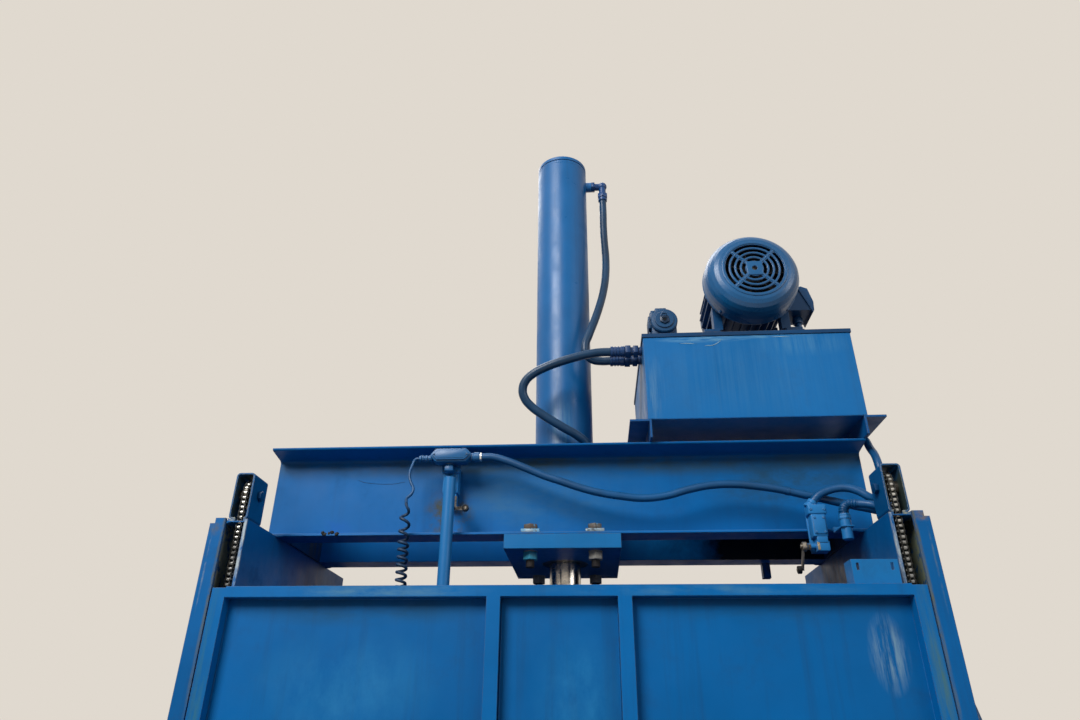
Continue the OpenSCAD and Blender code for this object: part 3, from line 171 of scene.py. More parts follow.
def painted(name, colour, dark=0.74, grime=0.4, wear=0.3, gloss=0.4, edge=0.0025, streak=0.35,
        bump=0.05, dust=0.2, under=(0.10, 0.085, 0.075), stains=(), shine=0.22, cloud_size=2.6):
    finish, tree, shade = new_finish(name)
    shade["Specular IOR Level"].default_value = shine
    place = add_node(tree, "TexCoord").outputs["Object"]
    face = add_node(tree, "NewGeometry").outputs["Normal"]
    # cloudy tone of hand-sprayed paint
    patches = spread(clouds(place, cloud_size, 5, 0.62), 0.36, 0.64)
    tone = layer(patches, toned(colour, dark), colour)
    # dirt that ran down the upright faces, and blotches of grease and hand marks
    dirty = toned(colour, 0.34, 0.010)
    run = clouds(stretched(place, (34, 34, 1.5)), 1.0, 6, 0.7)
    tone = layer(spread(run, 0.52, 0.82, 0, streak), tone, dirty)
    blot = clouds(place, 11.0, 8, 0.72)
    tone = layer(spread(blot, 0.56, 0.76, 0, grime), tone, dirty)
    # marks that lie in one place only: middle and reach in millimetres, colour, strength, grain
    for middle, reach, mark, strength, grain in stains:
        shift = tuple(-m / r for m, r in zip(middle, reach))
        away = stretched(place, tuple(1000 / r for r in reach), shift)
        away = add_node(tree, "VectorMath", {0: away}, operation="LENGTH").outputs["Value"]
        fleck = clouds(stretched(place, grain), 1.0, 7, 0.72)
        near = maths("MULTIPLY", spread(away, 1.0, 0.35), spread(fleck, 0.40, 0.62))
        tone = layer(maths("MULTIPLY", near, strength), tone, mark)
    # dust on whatever faces up
    up = add_node(tree, "SeparateXYZ", {0: face}).outputs["Z"]
    tone = layer(spread(up, 0.35, 1.0, 0, dust), tone, toned(colour, 0.6, 0.09))
    # edges: paint worn thin and paler, then chipped through
    soft = add_node(tree, "Bevel", {"Radius": edge}, samples=4).outputs[0]
    turn = add_node(tree, "VectorMath", {0: soft, 1: face}, operation="DOT_PRODUCT")
    rim = spread(turn.outputs["Value"], 0.985, 0.80)
    chip = maths("MULTIPLY", rim, clouds(place, 70, 6, 0.75))
    tone = layer(spread(rim, 0, 1, 0, 0.45 * wear), tone, toned(colour, 1.3, 0.03))
    tone = layer(spread(chip, 0.62 - 0.34 * wear, 0.68 - 0.34 * wear), tone, under)
    tree.links.new(tone, shade["Base Color"])
    tree.links.new(spread(blot, 0.3, 0.75, gloss - 0.08, gloss + 0.22), shade["Roughness"])
    peel = add_node(tree, "Bump", {"Height": clouds(place, 300, 3, 0.5), "Normal": soft,
        "Strength": bump, "Distance": 0.001})
    tree.links.new(peel.outputs[0], shade["Normal"])
    return finish


def merge(*pieces):
    select_only(*pieces)
    if len(pieces) > 1:
        bpy.ops.object.join()
    return pieces[0]


def settle(pieces, name, finish, *stands_for, body="frame", slot="blue_paint"):
    piece = merge(*pieces) if isinstance(pieces, list) else pieces
    piece.name = name
    select_only(piece)
    bpy.ops.object.transform_apply(location=True, rotation=True, scale=True)
    piece.data.materials.clear()
    piece.data.materials.append(finish)
    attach(piece, body)
    if stands_for:
        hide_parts(*stands_for)


oil_hose = painted("oil_hose_paint", srgb(1, 54, 88), dark=0.6, grime=0.5, wear=0.0, gloss=0.36,
    streak=0.0, dust=0.12, bump=0.12, cloud_size=9, shine=0.35)
conduit_skin = painted("conduit_paint", srgb(2, 80, 132), dark=0.66, wear=0.0, gloss=0.32,
    streak=0.0, dust=0.12, bump=0.08, cloud_size=7, shine=0.35)


def lay_cord(name, thick, length, line, *stands_for, finish=conduit_skin, slot="conduit_cover",
        stiffness="stiff"):
    select_only()
    bpy.ops.curve.primitive_bezier_curve_add(location=(0, 0, 0))
    made = bpy.context.object
    knots = made.data.splines[0].bezier_points
    knots.add(len(line) - 2)
    for knot, spot in zip(knots, line):
        knot.co = mm(*spot)
    for knot in knots:
        knot.handle_left_type = knot.handle_right_type = "AUTO"
    made.data.dimensions = "3D"
    made.data.bevel_depth = thick / 2000
    made.data.bevel_resolution = 6
    made.data.resolution_u = 6
    made.data.use_fill_caps = True
    settle(made, name, finish, *stands_for, slot=slot)


lay_cord("upper_oil_hose", 26, 0.818, [
    (149, 0, 3460), (149, 0, 3400), (148, -2, 3340), (149, -8, 3270), (151, -22, 3190),
    (147, -42, 3100), (138, -64, 3030), (124, -88, 2960), (104, -112, 2885), (84, -132, 2820),
    (72, -140, 2778), (76, -138, 2750), (94, -132, 2735), (119, -130, 2730), (148, -130, 2730)],
    "hose_top", finish=oil_hose, slot="hose_rubber")
lay_cord("lower_oil_hose", 26, 0.657, [
    (148, -188, 2730), (120, -188, 2730), (86, -189, 2725), (41, -190, 2714), (-4, -190, 2700),
    (-50, -186, 2684), (-84, -180, 2668), (-108, -172, 2648), (-117, -165, 2624),
    (-112, -158, 2599), (-92, -151, 2574), (-62, -146, 2551), (-28, -141, 2529),
    (8, -134, 2508), (42, -124, 2490), (68, -110, 2470), (83, -97, 2440), (90, -90, 2408),
    (90, -90, 2380)], "hose_bottom", finish=oil_hose, slot="hose_rubber")
lay_cord("web_conduit", 21, 1.717, [
    (-222, -212, 2395), (-196, -212, 2395), (-150, -212, 2382), (-100, -212, 2361),
    (-50, -212, 2339), (0, -212, 2321), (50, -212, 2303), (100, -212, 2289), (160, -212, 2278),
    (220, -212, 2272), (280, -212, 2278), (340, -212, 2294), (400, -212, 2305),
    (460, -212, 2307), (520, -212, 2301), (580, -212, 2291), (640, -212, 2276),
    (700, -214, 2260), (760, -220, 2243), (810, -226, 2229), (850, -228, 2214),
    (874, -230, 2184), (885, -232, 2140), (888, -234, 2000), (888, -236, 1850),
    (892, -246, 1720), (892, -246, 1618)], "conduit_long")
lay_cord("switch_conduit", 21, 0.839, [
    (654, -236, 2251), (661, -236.5, 2259), (672, -238, 2268), (690, -240, 2276),
    (715, -244, 2282), (740, -250, 2281), (765, -258, 2270), (790, -266, 2250),
    (830, -268, 2234), (860, -266, 2210), (878, -264, 2172), (886, -264, 2110),
    (888, -266, 1900), (892, -282, 1740), (892, -282, 1618)], "conduit_branches")
lay_cord("sensor_conduit", 21, 0.757, [
    (717, -262, 2209), (717, -262, 2219), (722, -263, 2230), (735, -265, 2235),
    (752, -269, 2234), (770, -276, 2231), (790, -284, 2224), (830, -284, 2207),
    (856, -286, 2200), (868, -290, 2176), (880, -296, 2130), (884, -297, 2000),
    (886, -299, 1850), (892, -318, 1720), (892, -318, 1618)])
lay_cord("motor_conduit", 21, 1.961, [
    (765, -28, 2903), (765, -28, 2884), (766, -22, 2860), (770, -2, 2834), (778, 40, 2814),
    (790, 110, 2798), (808, 180, 2791), (826, 240, 2786), (844, 268, 2762), (850, 278, 2720),
    (852, 280, 2600), (852, 276, 2520), (852, 268, 2486), (852, 256, 2462), (852, 230, 2450),
    (852, 120, 2450), (852, 20, 2451), (856, -60, 2458), (860, -120, 2463), (860, -150, 2426),
    (851, -200, 2378), (850, -214, 2330), (862, -208, 2280), (884, -204, 2230),
    (904, -212, 2180), (912, -222, 2110), (914, -228, 2000), (914, -230, 1850),
    (932, -246, 1720), (932, -246, 1618)])
lay_cord("switch_lead", 8, 0.153, [
    (-399.3, -216, 2392), (-409, -216, 2390), (-416, -220, 2372), (-420, -226, 2342),
    (-413, -230, 2318), (-404, -233, 2300), (-408, -235, 2284), (-420, -235, 2271),
    (-420, -235, 2260.4)], stiffness="medium")


# Coiled cord from the switch's conduit body down to the platen. Its upper turns are pulled
# open and its lower ones lie close; it was sprayed blue on its front like all the rest.
def from_points(corners, edges, faces):
    shape = bpy.data.meshes.new("piece")
    shape.from_pydata(corners, edges, faces)
    made = bpy.data.objects.new("piece", shape)
    bpy.context.collection.objects.link(made)
    select_only(made)
    return made


def tube(line, radius, sides=8):
    corners, skin = [], []
    across = Vector((0.3, 1, 0.1))
    for i, spot in enumerate(line):
        along = (line[min(i + 1, len(line) - 1)] - line[max(i - 1, 0)]).normalized()
        across = (across - across.dot(along) * along).normalized()
        over = along.cross(across)
        r = radius(i / (len(line) - 1)) if callable(radius) else radius
        for k in range(sides):
            a = 2 * math.pi * k / sides
            corners.append(spot + r * (math.cos(a) * across + math.sin(a) * over))
            if i:
                m = (k + 1) % sides
                skin.append(((i - 1) * sides + k, (i - 1) * sides + m, i * sides + m,
                    i * sides + k))
    skin.append(tuple(reversed(range(sides))))
    skin.append(tuple(len(corners) - sides + k for k in range(sides)))
    made = from_points(corners, [], skin)
    bpy.ops.object.shade_smooth_by_angle(angle=math.radians(50))
    return made


coil_top, coil_foot, turn_radius, straight_end = 2260, 1900, 12, 30
# the turns' pitch above each height: pulled open at the top, close below
coil_pitches = [(2222, 43.5), (2188, 37), (2157, 29), (2043, 19.5), (0, 9.4)]
coil_line, height, turned_by = [], coil_top, -27.6
while height > coil_foot:
    pitch = next(rise for above, rise in coil_pitches if height > above)
    wound = min(1, (coil_top - height) / straight_end, (height - coil_foot) / straight_end)
    reach = turn_radius * wound * wound * (3 - 2 * wound)
    middle = mm(-420 + (coil_top - height) / 37, -235, height)
    angle = math.radians(turned_by)
    coil_line.append(middle + mm(reach * math.cos(angle), reach * math.sin(angle), 0))
    turned_by += 24 * (0.25 + 0.75 * wound)
    height -= max(pitch / 15, 0.6 + 5 * (1 - wound))
coil_line.append(mm(-410, -235, 1889.6))
wire = 0.008
curly_cord = tube(coil_line, wire / 2)
curly_cord.name = "coiled_cord"
curly_cord.data.materials.append(painted("cord_overspray", srgb(14, 56, 92), dark=0.5, grime=0.6,
    wear=0.0, streak=0.0, dust=0.35, bump=0.1, cloud_size=30, shine=0.35))
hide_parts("curly_cord")
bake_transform(curly_cord)


# Base, floor and chamber walls: 8 mm plate on box rails, welded. The inside of the walls is
# scraped down to grey steel where the bales rise and fall, and the front edges are rubbed.
def dress(finish, *names):
    for name in names:
        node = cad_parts[name]
        node.data.materials.clear()
        node.data.materials.append(finish)


def stain_pair(middle, *rest):
    return [((s * middle[0],) + middle[1:], *rest) for s in (-1, 1)]


machine_blue = srgb(0, 97, 163)
scraped = (0.115, 0.105, 0.10)
rusty = (0.10, 0.055, 0.03)
old_grease = (0.085, 0.095, 0.070)
dress(painted("wall_paint", machine_blue, dark=0.7, grime=0.55, wear=0.8, streak=0.5, dust=0.45,
        shine=0.13, stains=[
    ((-778, 150, 1930), (5, 330, 260), scraped, 1.0, (70, 70, 3)),
    ((778, 110, 1940), (5, 340, 280), scraped, 1.0, (70, 70, 3)),
    *stain_pair((778, 0, 900), (5, 500, 900), scraped, 0.9, (50, 50, 3)),
    ((0, 381, 1100), (900, 5, 1200), scraped, 0.8, (50, 50, 3)),
    *stain_pair((782, -386, 2000), (14, 5, 500), (0.42, 0.48, 0.50), 1.1, (60, 60, 22)),
    *stain_pair((786, -330, 2050), (3, 60, 300), old_grease, 1.6, (60, 60, 40))]),
    "side_wall_left", "side_wall_right", "rear_wall")
dress(painted("floor_paint", machine_blue, dark=0.6, grime=0.7, wear=0.6, dust=0.5, stains=[
    ((0, 0, 172), (900, 420, 5), scraped, 1.0, (5, 60, 5))]), "floor_plate")
dress(painted("base_paint", machine_blue, dark=0.7, grime=0.6, wear=0.6, streak=0.3, dust=0.6,
        stains=[((0, 0, 20), (1300, 700, 120), rusty, 0.5, (20, 20, 20))]),
    "base_frame", "feed_sill")


# Weld beads where the plates of the base, the walls and the seats meet. Each one is a row of
# overlapping ripples, painted over together with the plate.
def weld_bead(start, end, width):
    start, end = mm(*start), mm(*end)
    count = max(6, int((end - start).length / 0.006))
    rows = [start.lerp(end, i / count) for i in range(count + 1)]

    def ripple(t):
        fade = min(1, 4 * t + 0.3, 4 * (1 - t) + 0.3)
        lump = noise.noise(rows[min(count, int(t * count))] * 55)
        return width / 2000 * fade * (0.82 + 0.16 * math.sin(t * count * 2.4) + 0.25 * lump)

    return tube(rows, ripple, 6)


def weld_beads(name, width, runs, body="frame"):
    settle([weld_bead(a, b, width) for a, b in runs], name, weld_paint, body=body)


def mirrored(runs):
    return [((s * a[0],) + a[1:], (s * b[0],) + b[1:]) for s in (-1, 1) for a, b in runs]


weld_paint = painted("weld_paint", machine_blue, dark=0.6, grime=0.5, wear=0.4, streak=0.0,
    edge=0.001)
wall_in, wall_out, wall_front = 778, 786, -386
weld_beads("base_welds", 9,
    mirrored([((wall_out, y, 12), (wall_out, y + 140, 12)) for y in (-390, 250)])
    + mirrored([((wall_out, y, 44), (wall_out, y, 158))
        for y in range(wall_front + 10, 312, 229)]))
weld_beads("wall_welds", 7,
    mirrored([((wall_in, 381, 180), (wall_in, 381, 2120))])
    + mirrored([((wall_out, y, 172), (wall_out, y, 2078))
        for y in (-90, -10, 110, 190, 309)])
    + mirrored([((wall_out, -238, 2082), (wall_out, 386, 2082))]))
weld_beads("rear_welds", 7, [((-784, 389, z), (784, 389, z)) for z in (
    520.5, 620.5, 1100.1, 1200.1, 1679.7, 1779.7)])
weld_beads("beam_seat_welds", 8,
    mirrored([((760, y, 2180), (830, y, 2180)) for y in (-206.5, 206.5)]))


# Guide posts: folded channels with the gate's slot in front. The chain runs in each of them, so
# their inside is black with grease, and its paint has flaked along the outer wall. Inside the outer
# walls and on the left post's back wall that grease is painted pale olive grey: painted light,
# where the lamps leave the inside in shade.
grease_with_painted_light = (0.21, 0.24, 0.17)
dress(painted("post_paint", machine_blue, grime=0.5, wear=0.7, streak=0.45, dust=0.3, shine=0.13,
        stains=[
    # painted light: grease inside the outer wall and on the back wall of the left post, made pale
    # so the shaded inside reads as lit
    ((-843, -330, 2050), (7, 100, 300), (0.42, 0.44, 0.35), 2.8, (60, 60, 40)),
    ((-814, -252, 2050), (36, 9, 300), (0.30, 0.31, 0.25), 2.6, (90, 90, 60)),
    ((-808, -386, 2177), (26, 8, 9), (0.32, 0.34, 0.28), 2.0, (90, 90, 90)),
    ((808, -386, 2177), (26, 8, 9), (0.25, 0.27, 0.20), 1.6, (90, 90, 90)),
    # painted light: the same pale grease inside the right post's outer wall
    ((843, -330, 2050), (7, 100, 300), grease_with_painted_light, 2.8, (60, 60, 40)),
    *stain_pair((818, -419, 2060), (5, 12, 260), old_grease, 1.2, (60, 60, 30)),
    ((822, -414, 2100), (50, 4, 100), (0.16, 0.12, 0.07), 0.7, (30, 30, 12)),
    ((838, -422, 2162), (26, 12, 16), (0.22, 0.15, 0.06), 0.85, (45, 45, 45)),
    ((-838, -422, 2150), (26, 12, 24), (0.10, 0.10, 0.08), 0.6, (45, 45, 45)),
    ((-818, -422, 1900), (6, 12, 320), (0.13, 0.14, 0.08), 0.55, (60, 60, 8)),
    ((818, -422, 1900), (6, 12, 320), (0.13, 0.14, 0.08), 0.65, (60, 60, 8))]),
    "post_left", "post_right")
weld_beads("post_seat_welds", 5,
    mirrored([((wall_out, -385, 2173), (829, -385, 2173))])
    + mirrored([((829.5, -385, 2181), (829.5, -304, 2181))]))


# Cross beams: two 254 mm channels, back to back with the cylinder between them. The front web is
# darker in a band under its flange, has patches of fresh paint and an old scratch, and carries a
# painted shadow of the tank at its right end.
def soften(made, edge, segments=2):
    select_only(made)
    bevel = made.modifiers.new("soft_edges", "BEVEL")
    bevel.width = edge / 1000
    bevel.segments = segments
    bevel.limit_method = "ANGLE"
    bevel.angle_limit = math.radians(30)
    bpy.ops.object.modifier_apply(modifier=bevel.name)
    bpy.ops.object.shade_smooth_by_angle(angle=math.radians(35))
    return made


def slab(low, high, edge=1.0, segments=2):
    select_only()
    low, high = mm(*low), mm(*high)
    bpy.ops.mesh.primitive_cube_add(size=1, location=(low + high) / 2)
    made = bpy.context.object
    made.scale = high - low
    bpy.ops.object.transform_apply(location=True, rotation=True, scale=True)
    return soften(made, edge, segments) if edge else made


web = -136.5
dress(painted("web_paint", machine_blue, dark=0.8, grime=0.35, wear=0.6, streak=0.25, dust=0.5,
        shine=0.13, stains=[
    # a darker band along the top of the web, under the flange
    ((0, web, 2404), (1500, 6, 52), (0.030, 0.075, 0.11), 1.0, (3, 3, 9)),
    ((-120, web, 2300), (420, 6, 120), (0.035, 0.14, 0.27), 0.6, (4, 4, 10)),
    ((-650, web, 2215), (60, 6, 40), (0.0, 0.10, 0.42), 0.9, (9, 9, 9)),
    ((-320, web, 2250), (80, 6, 90), (0.06, 0.07, 0.06), 1.5, (25, 25, 25)),
    # painted shadow: the right end of the web darkened where the tank shades it
    ((620, web, 2330), (330, 6, 110), (0.012, 0.05, 0.09), 0.8, (3, 3, 6)),
    *stain_pair((-90, -206.5, 2190), (60, 80, 30), (0.05, 0.05, 0.04), 0.6, (40, 40, 40))]),
    "beam_front")
dress(painted("rear_beam_paint", srgb(0, 118, 192), dark=0.9, grime=0.3, wear=0.5, streak=0.3,
        dust=0.5, shine=0.16, stains=[
    # painted shadow: the right half of the rear web made nearly black where the tank shades it
    ((560, 126.5, 2300), (420, 12, 260), (0.0, 0.008, 0.022), 2.2, (1, 1, 1)),
    ((608, 192, 2150), (30, 30, 50), (0.11, 0.10, 0.085), 1.6, (30, 30, 9))]), "beam_rear")
end_x, end_rust = 776, (0.085, 0.080, 0.080)
end_paint = painted("end_plate_paint", srgb(4, 76, 124), dark=0.7, grime=0.6, wear=0.4,
    streak=0.9, dust=0.3, shine=0.10, stains=[
    ((-end_x, 70, 2240), (12, 80, 110), end_rust, 1.8, (60, 60, 5)),
    ((end_x, 20, 2240), (12, 130, 110), end_rust, 1.8, (60, 60, 5))])
settle([slab((s * end_x - 4, -126.2, 2180.2), (s * end_x + 4, 126.2, 2421.8), 0)
    for s in (-1, 1)], "beam_end_plates", end_paint)
weld_beads("end_plate_welds", 6,
    mirrored([((end_x - 4.5, y, 2182), (end_x - 4.5, y, 2420)) for y in (-125, 125)]))
scratch = [mm(x, web + 0.1, z) for x, z in [
    (-591, 2357), (-575, 2351), (-558, 2348), (-540, 2346), (-516, 2344.5), (-492, 2344.5),
    (-472, 2347), (-455, 2351)]]
settle(tube(scratch, 0.0007, 5), "web_scratch", painted("scratch", srgb(8, 40, 66), wear=0.0))
random.seed(4)
lumps = []
for i in range(11):
    select_only()
    size = random.uniform(2.2, 5.2) / 1000
    bpy.ops.mesh.primitive_ico_sphere_add(subdivisions=2, radius=size,
        location=mm(-628 + random.uniform(-26, 26), -205 + random.uniform(-1.5, 1.5),
        2188 + random.uniform(-6, 3)))
    lumps.append(bpy.context.object)
    for corner in lumps[-1].data.vertices:
        corner.co *= 1 + 0.45 * noise.noise(corner.co * 700 + Vector((i, 0, 0)))
settle(lumps, "grease_on_beam", painted("grease_lumps", (0.012, 0.012, 0.011), wear=0.2,
    gloss=0.35, under=(0.30, 0.28, 0.25)))


# Mounting plate with its four M24 bolts. Over the flange each bolt has a square taper washer
# and a rusted hexagon head, under the plate a heavy nut and a short end of bare thread.
UP, TO_RIGHT, TO_REAR, TO_FRONT = (0, 0, 1), (1, 0, 0), (0, 1, 0), (0, -1, 0)


def point_along(made, place, along):
    turn = Vector(along).to_track_quat("Z", "Y").to_matrix().to_4x4()
    made.data.transform(Matrix.Translation(mm(*place)) @ turn)
    return made


# the mesh's faces turned outward; with steps, its line is first spun into a round shape
def close_up(steps=0):
    bpy.ops.object.mode_set(mode="EDIT")
    bpy.ops.mesh.select_all(action="SELECT")
    if steps:
        bpy.ops.mesh.spin(steps=steps, angle=2 * math.pi, center=(0, 0, 0), axis=(0, 0, 1))
        bpy.ops.mesh.select_all(action="SELECT")
        bpy.ops.mesh.remove_doubles(threshold=0.00001)
    bpy.ops.mesh.normals_make_consistent(inside=False)
    bpy.ops.object.mode_set(mode="OBJECT")


# a profile of radii and heights, spun round and laid at a place, pointing along a direction
def turned(profile, place, along=UP, steps=36):
    made = from_points([mm(r, 0, h) for r, h in profile],
        [(i, i + 1) for i in range(len(profile) - 1)], [])
    close_up(steps)
    bpy.ops.object.shade_smooth_by_angle(angle=math.radians(35))
    return point_along(made, place, along)


# the same with its two ends closed
def solid(profile, place, along=UP, steps=24):
    (_, low), (_, high) = profile[0], profile[-1]
    return turned([(0, low)] + profile + [(0, high)], place, along, steps)


def disc(radius, height, place, along=UP, steps=24):
    return solid([(radius, 0), (radius, height)], place, along, steps)


def hexagon(across, length, place, along=UP, edge=1.2):
    select_only()
    bpy.ops.mesh.primitive_cylinder_add(vertices=6, radius=across / 2000 / math.cos(math.pi / 6),
        depth=length / 1000, location=(0, 0, length / 2000))
    made = bpy.context.object
    bpy.ops.object.transform_apply(location=True, rotation=True, scale=True)
    return point_along(soften(made, edge), place, along)


def threaded(radius, length, pitch=3.0):
    rows = [(0, 0), (radius - 1.4, 0)]
    for i in range(int(length / pitch)):
        rows += [(radius - 0.9, (i + 0.15) * pitch), (radius, (i + 0.5) * pitch),
            (radius - 0.9, (i + 0.85) * pitch)]
    return rows + [(radius - 0.9, length), (0, length)]


def taper_washer(x, y):
    s = 1 if y > 0 else -1
    corners = [mm(x + e, s * across, z) for e in (-25, 25)
        for across, z in [(188.5, 2189.4), (144.5, 2196.4), (144.5, 2199), (188.5, 2199)]]
    sides = [(i, i + 4, (i + 1) % 4 + 4, (i + 1) % 4) for i in range(4)]
    made = from_points(corners, [], [(0, 1, 2, 3), (7, 6, 5, 4)] + sides)
    close_up()
    return soften(made, 0.8)


def bare_metal(name, colour, rough=0.4, rust=0.3, rust_colour=(0.16, 0.07, 0.03), grain=220,
        paint=0.0, metal=0.85, paint_colour=(0.01, 0.12, 0.30)):
    finish, tree, shade = new_finish(name)
    shade["Metallic"].default_value = metal
    place = add_node(tree, "TexCoord").outputs["Object"]
    patches = spread(clouds(place, 60, 6, 0.65), 0.3, 0.7)
    tone = layer(patches, toned(colour, 0.6), colour)
    # rust in spots, and what is left of an old coat of paint
    rusted = spread(clouds(place, 45, 8, 0.75), 0.66 - 0.34 * rust, 0.74 - 0.3 * rust)
    tone = layer(rusted, tone, rust_colour)
    left = spread(clouds(place, 38, 5, 0.6), 0.70 - 0.4 * paint, 0.72 - 0.4 * paint,
        0, 1.0 if paint else 0.0)
    tree.links.new(layer(left, tone, paint_colour), shade["Base Color"])
    # neither of the two shines like metal, and both are rougher
    dull = maths("MAXIMUM", rusted, left)
    tree.links.new(spread(dull, 0, 1, metal, 0.0), shade["Metallic"])
    fine = spread(clouds(place, grain, 4, 0.65), 0.3, 0.7, rough - 0.1, rough + 0.15)
    tree.links.new(maths("ADD", fine, spread(dull, 0, 1, 0, 0.35)), shade["Roughness"])
    pits = add_node(tree, "Bump", {"Height": clouds(place, grain, 6, 0.65), "Strength": 0.25,
        "Distance": 0.0008})
    tree.links.new(pits.outputs[0], shade["Normal"])
    return finish


dress(painted("plate_paint", srgb(0, 106, 166), dark=0.85, grime=0.25, wear=0.5, streak=0.15,
    edge=0.003), "mount_plate")
bolt_steel = bare_metal("bolt_steel", (0.12, 0.12, 0.115), rough=0.5, rust=0.5, rust_colour=(0.10,
    0.065, 0.045), paint=0.4, paint_colour=(0.06, 0.21, 0.36))
washer_steel = bare_metal("washer_steel", (0.24, 0.32, 0.38), rough=0.55, rust=0.45,
    rust_colour=(0.06, 0.055, 0.05), paint=0.4, paint_colour=(0.16, 0.36, 0.52))
thread_steel = bare_metal("thread_steel", (0.055, 0.05, 0.05), rough=0.6, rust=0.4,
    rust_colour=(0.045, 0.03, 0.022))
nut_steel = bare_metal("nut_steel", (0.34, 0.33, 0.30), rough=0.55, rust=0.25, metal=0.5)
nut_painted = painted("nut_painted", srgb(58, 148, 176), dark=0.7, grime=0.5, wear=0.8,
    edge=0.0015)
heads, washers, nuts, faces, ends = [], [], [], [], []
for x in (-87, 87):
    for y in (-166.5, 166.5):
        washers.append(taper_washer(x, y))
        heads += [disc(17.5, 1.5, (x, y, 2199)), hexagon(36, 14, (x, y, 2200), edge=1.6),
            solid([(9, 0), (8.4, 0.8)], (x, y, 2213.6))]
        nuts.append(hexagon(36, 22, (x, y, 2119), edge=1.8))
        faces.append(solid([(18.5, 0), (19, 0.6), (19, 2.6)], (x, y, 2139.4)))
        ends.append(turned(threaded(12, 20), (x, y, 2100), steps=20))
settle(heads, "beam_bolt_heads", bolt_steel, "mount_bolts", slot="bare_bolts")
settle(washers, "taper_washers", washer_steel, slot="bare_bolts")
settle(faces + nuts[1:], "beam_bolt_nuts", nut_steel, slot="bare_bolts")
settle(ends, "beam_bolt_ends", thread_steel, slot="bare_bolts")
settle(nuts[0], "painted_nut", nut_painted, slot="bare_bolts")


# Cylinder: honed tube with a turned cap, painted by hand down its length. The lower hose has
# rubbed an arch-shaped pale place on its front. The rod guide closes its foot.
dress(painted("barrel_paint", srgb(10, 96, 156), dark=0.8, grime=0.2, streak=0.5, gloss=0.33,
        shine=0.35, stains=[
    ((-8, -86, 2530), (50, 40, 110), (0.07, 0.20, 0.33), 0.75, (110, 110, 5)),
    ((60, -60, 2480), (50, 40, 150), (0.01, 0.05, 0.10), 0.6, (14, 14, 4))]),
    "cylinder_barrel", "cylinder_cap")
guide_steel = bare_metal("guide_steel", (0.20, 0.19, 0.18), rough=0.35, rust=0.1)
dress(guide_steel, "rod_gland", "piston")
weld_beads("port_welds", 5, [((86, -15, 3529), (86, 15, 3529))])


# Hose ends: crimped sleeves, hexagon adapters, the elbow at the cylinder's top port and the
# one hidden between the beams. They were screwed up first and sprayed over afterwards.
def crimped(place, along, length, radius=17):
    rows = [(0, 0), (radius - 1.5, 0), (radius, 1.5)]
    for i in range(3):
        h = 7 + i * (length - 16) / 3
        rows += [(radius, h), (radius - 2, h + 1.5), (radius - 2, h + 5), (radius, h + 6.5)]
    return turned(rows + [(radius, length - 2), (radius - 2, length), (0, length)], place,
        along, 28)


def elbow(*place):
    select_only()
    bpy.ops.mesh.primitive_uv_sphere_add(segments=24, ring_count=16, radius=0.0172,
        location=mm(*place))
    bpy.ops.object.shade_smooth_by_angle(angle=math.radians(40))
    return bpy.context.object


ends = []
for x, y, z in ((148, -130, 2730), (148, -188, 2730)):
    ends += [crimped((x, y, z), TO_RIGHT, 43), hexagon(38, 16, (x + 43.6, y, z), TO_RIGHT),
        disc(14, 9, (x + 59.4, y, z), TO_RIGHT), hexagon(36, 14, (x + 68, y, z), TO_RIGHT),
        solid([(13, 0), (13, 5), (15, 6), (15, 10), (12, 11), (12, 12)],
            (x + 82, y, z), TO_RIGHT, 24)]
# at the top port, then at the bottom port, which is turned 45 degrees to the front
port_z = 3529
ends += [solid([(18, 0), (18, 2), (16, 5)], (84, 0, port_z), TO_RIGHT, 28),
    hexagon(34, 12, (109, 0, port_z), TO_RIGHT),
    solid([(14, 0), (13, 2), (13, 24), (16, 28)], (121, 0, port_z),
        TO_RIGHT, 24),
    turned([(0, 0), (14, 1), (13, 20), (13, 47), (0, 47)], (149, 0, 3482), steps=24),
    hexagon(34, 18, (149, 0, 3474)),
    solid([(14, 0), (16, 1.5), (16, 12), (14, 14)], (149, 0, 3460),
        steps=24), elbow(149, 0, port_z)]
side = (math.sqrt(0.5), -math.sqrt(0.5), 0)
ends += [hexagon(30, 12, (107 * side[0], 107 * side[1], 2340), side),
    disc(13, 22, (106 * side[0], 106 * side[1], 2340), side),
    solid([(14, 0), (14, 16), (16, 18), (16, 34), (14, 36)],
        (90, -90, 2342)), hexagon(34, 22, (90, -90, 2355)),
    elbow(90, -90, 2340)]
fitting_paint = painted("fitting_paint", srgb(4, 62, 116), dark=0.6, grime=0.55, wear=0.7,
    streak=0.0, gloss=0.33, edge=0.0012, dust=0.35, shine=0.4, under=(0.22, 0.20, 0.18))
settle(ends, "hose_ends", fitting_paint, "hose_fittings", slot="fitting_steel")


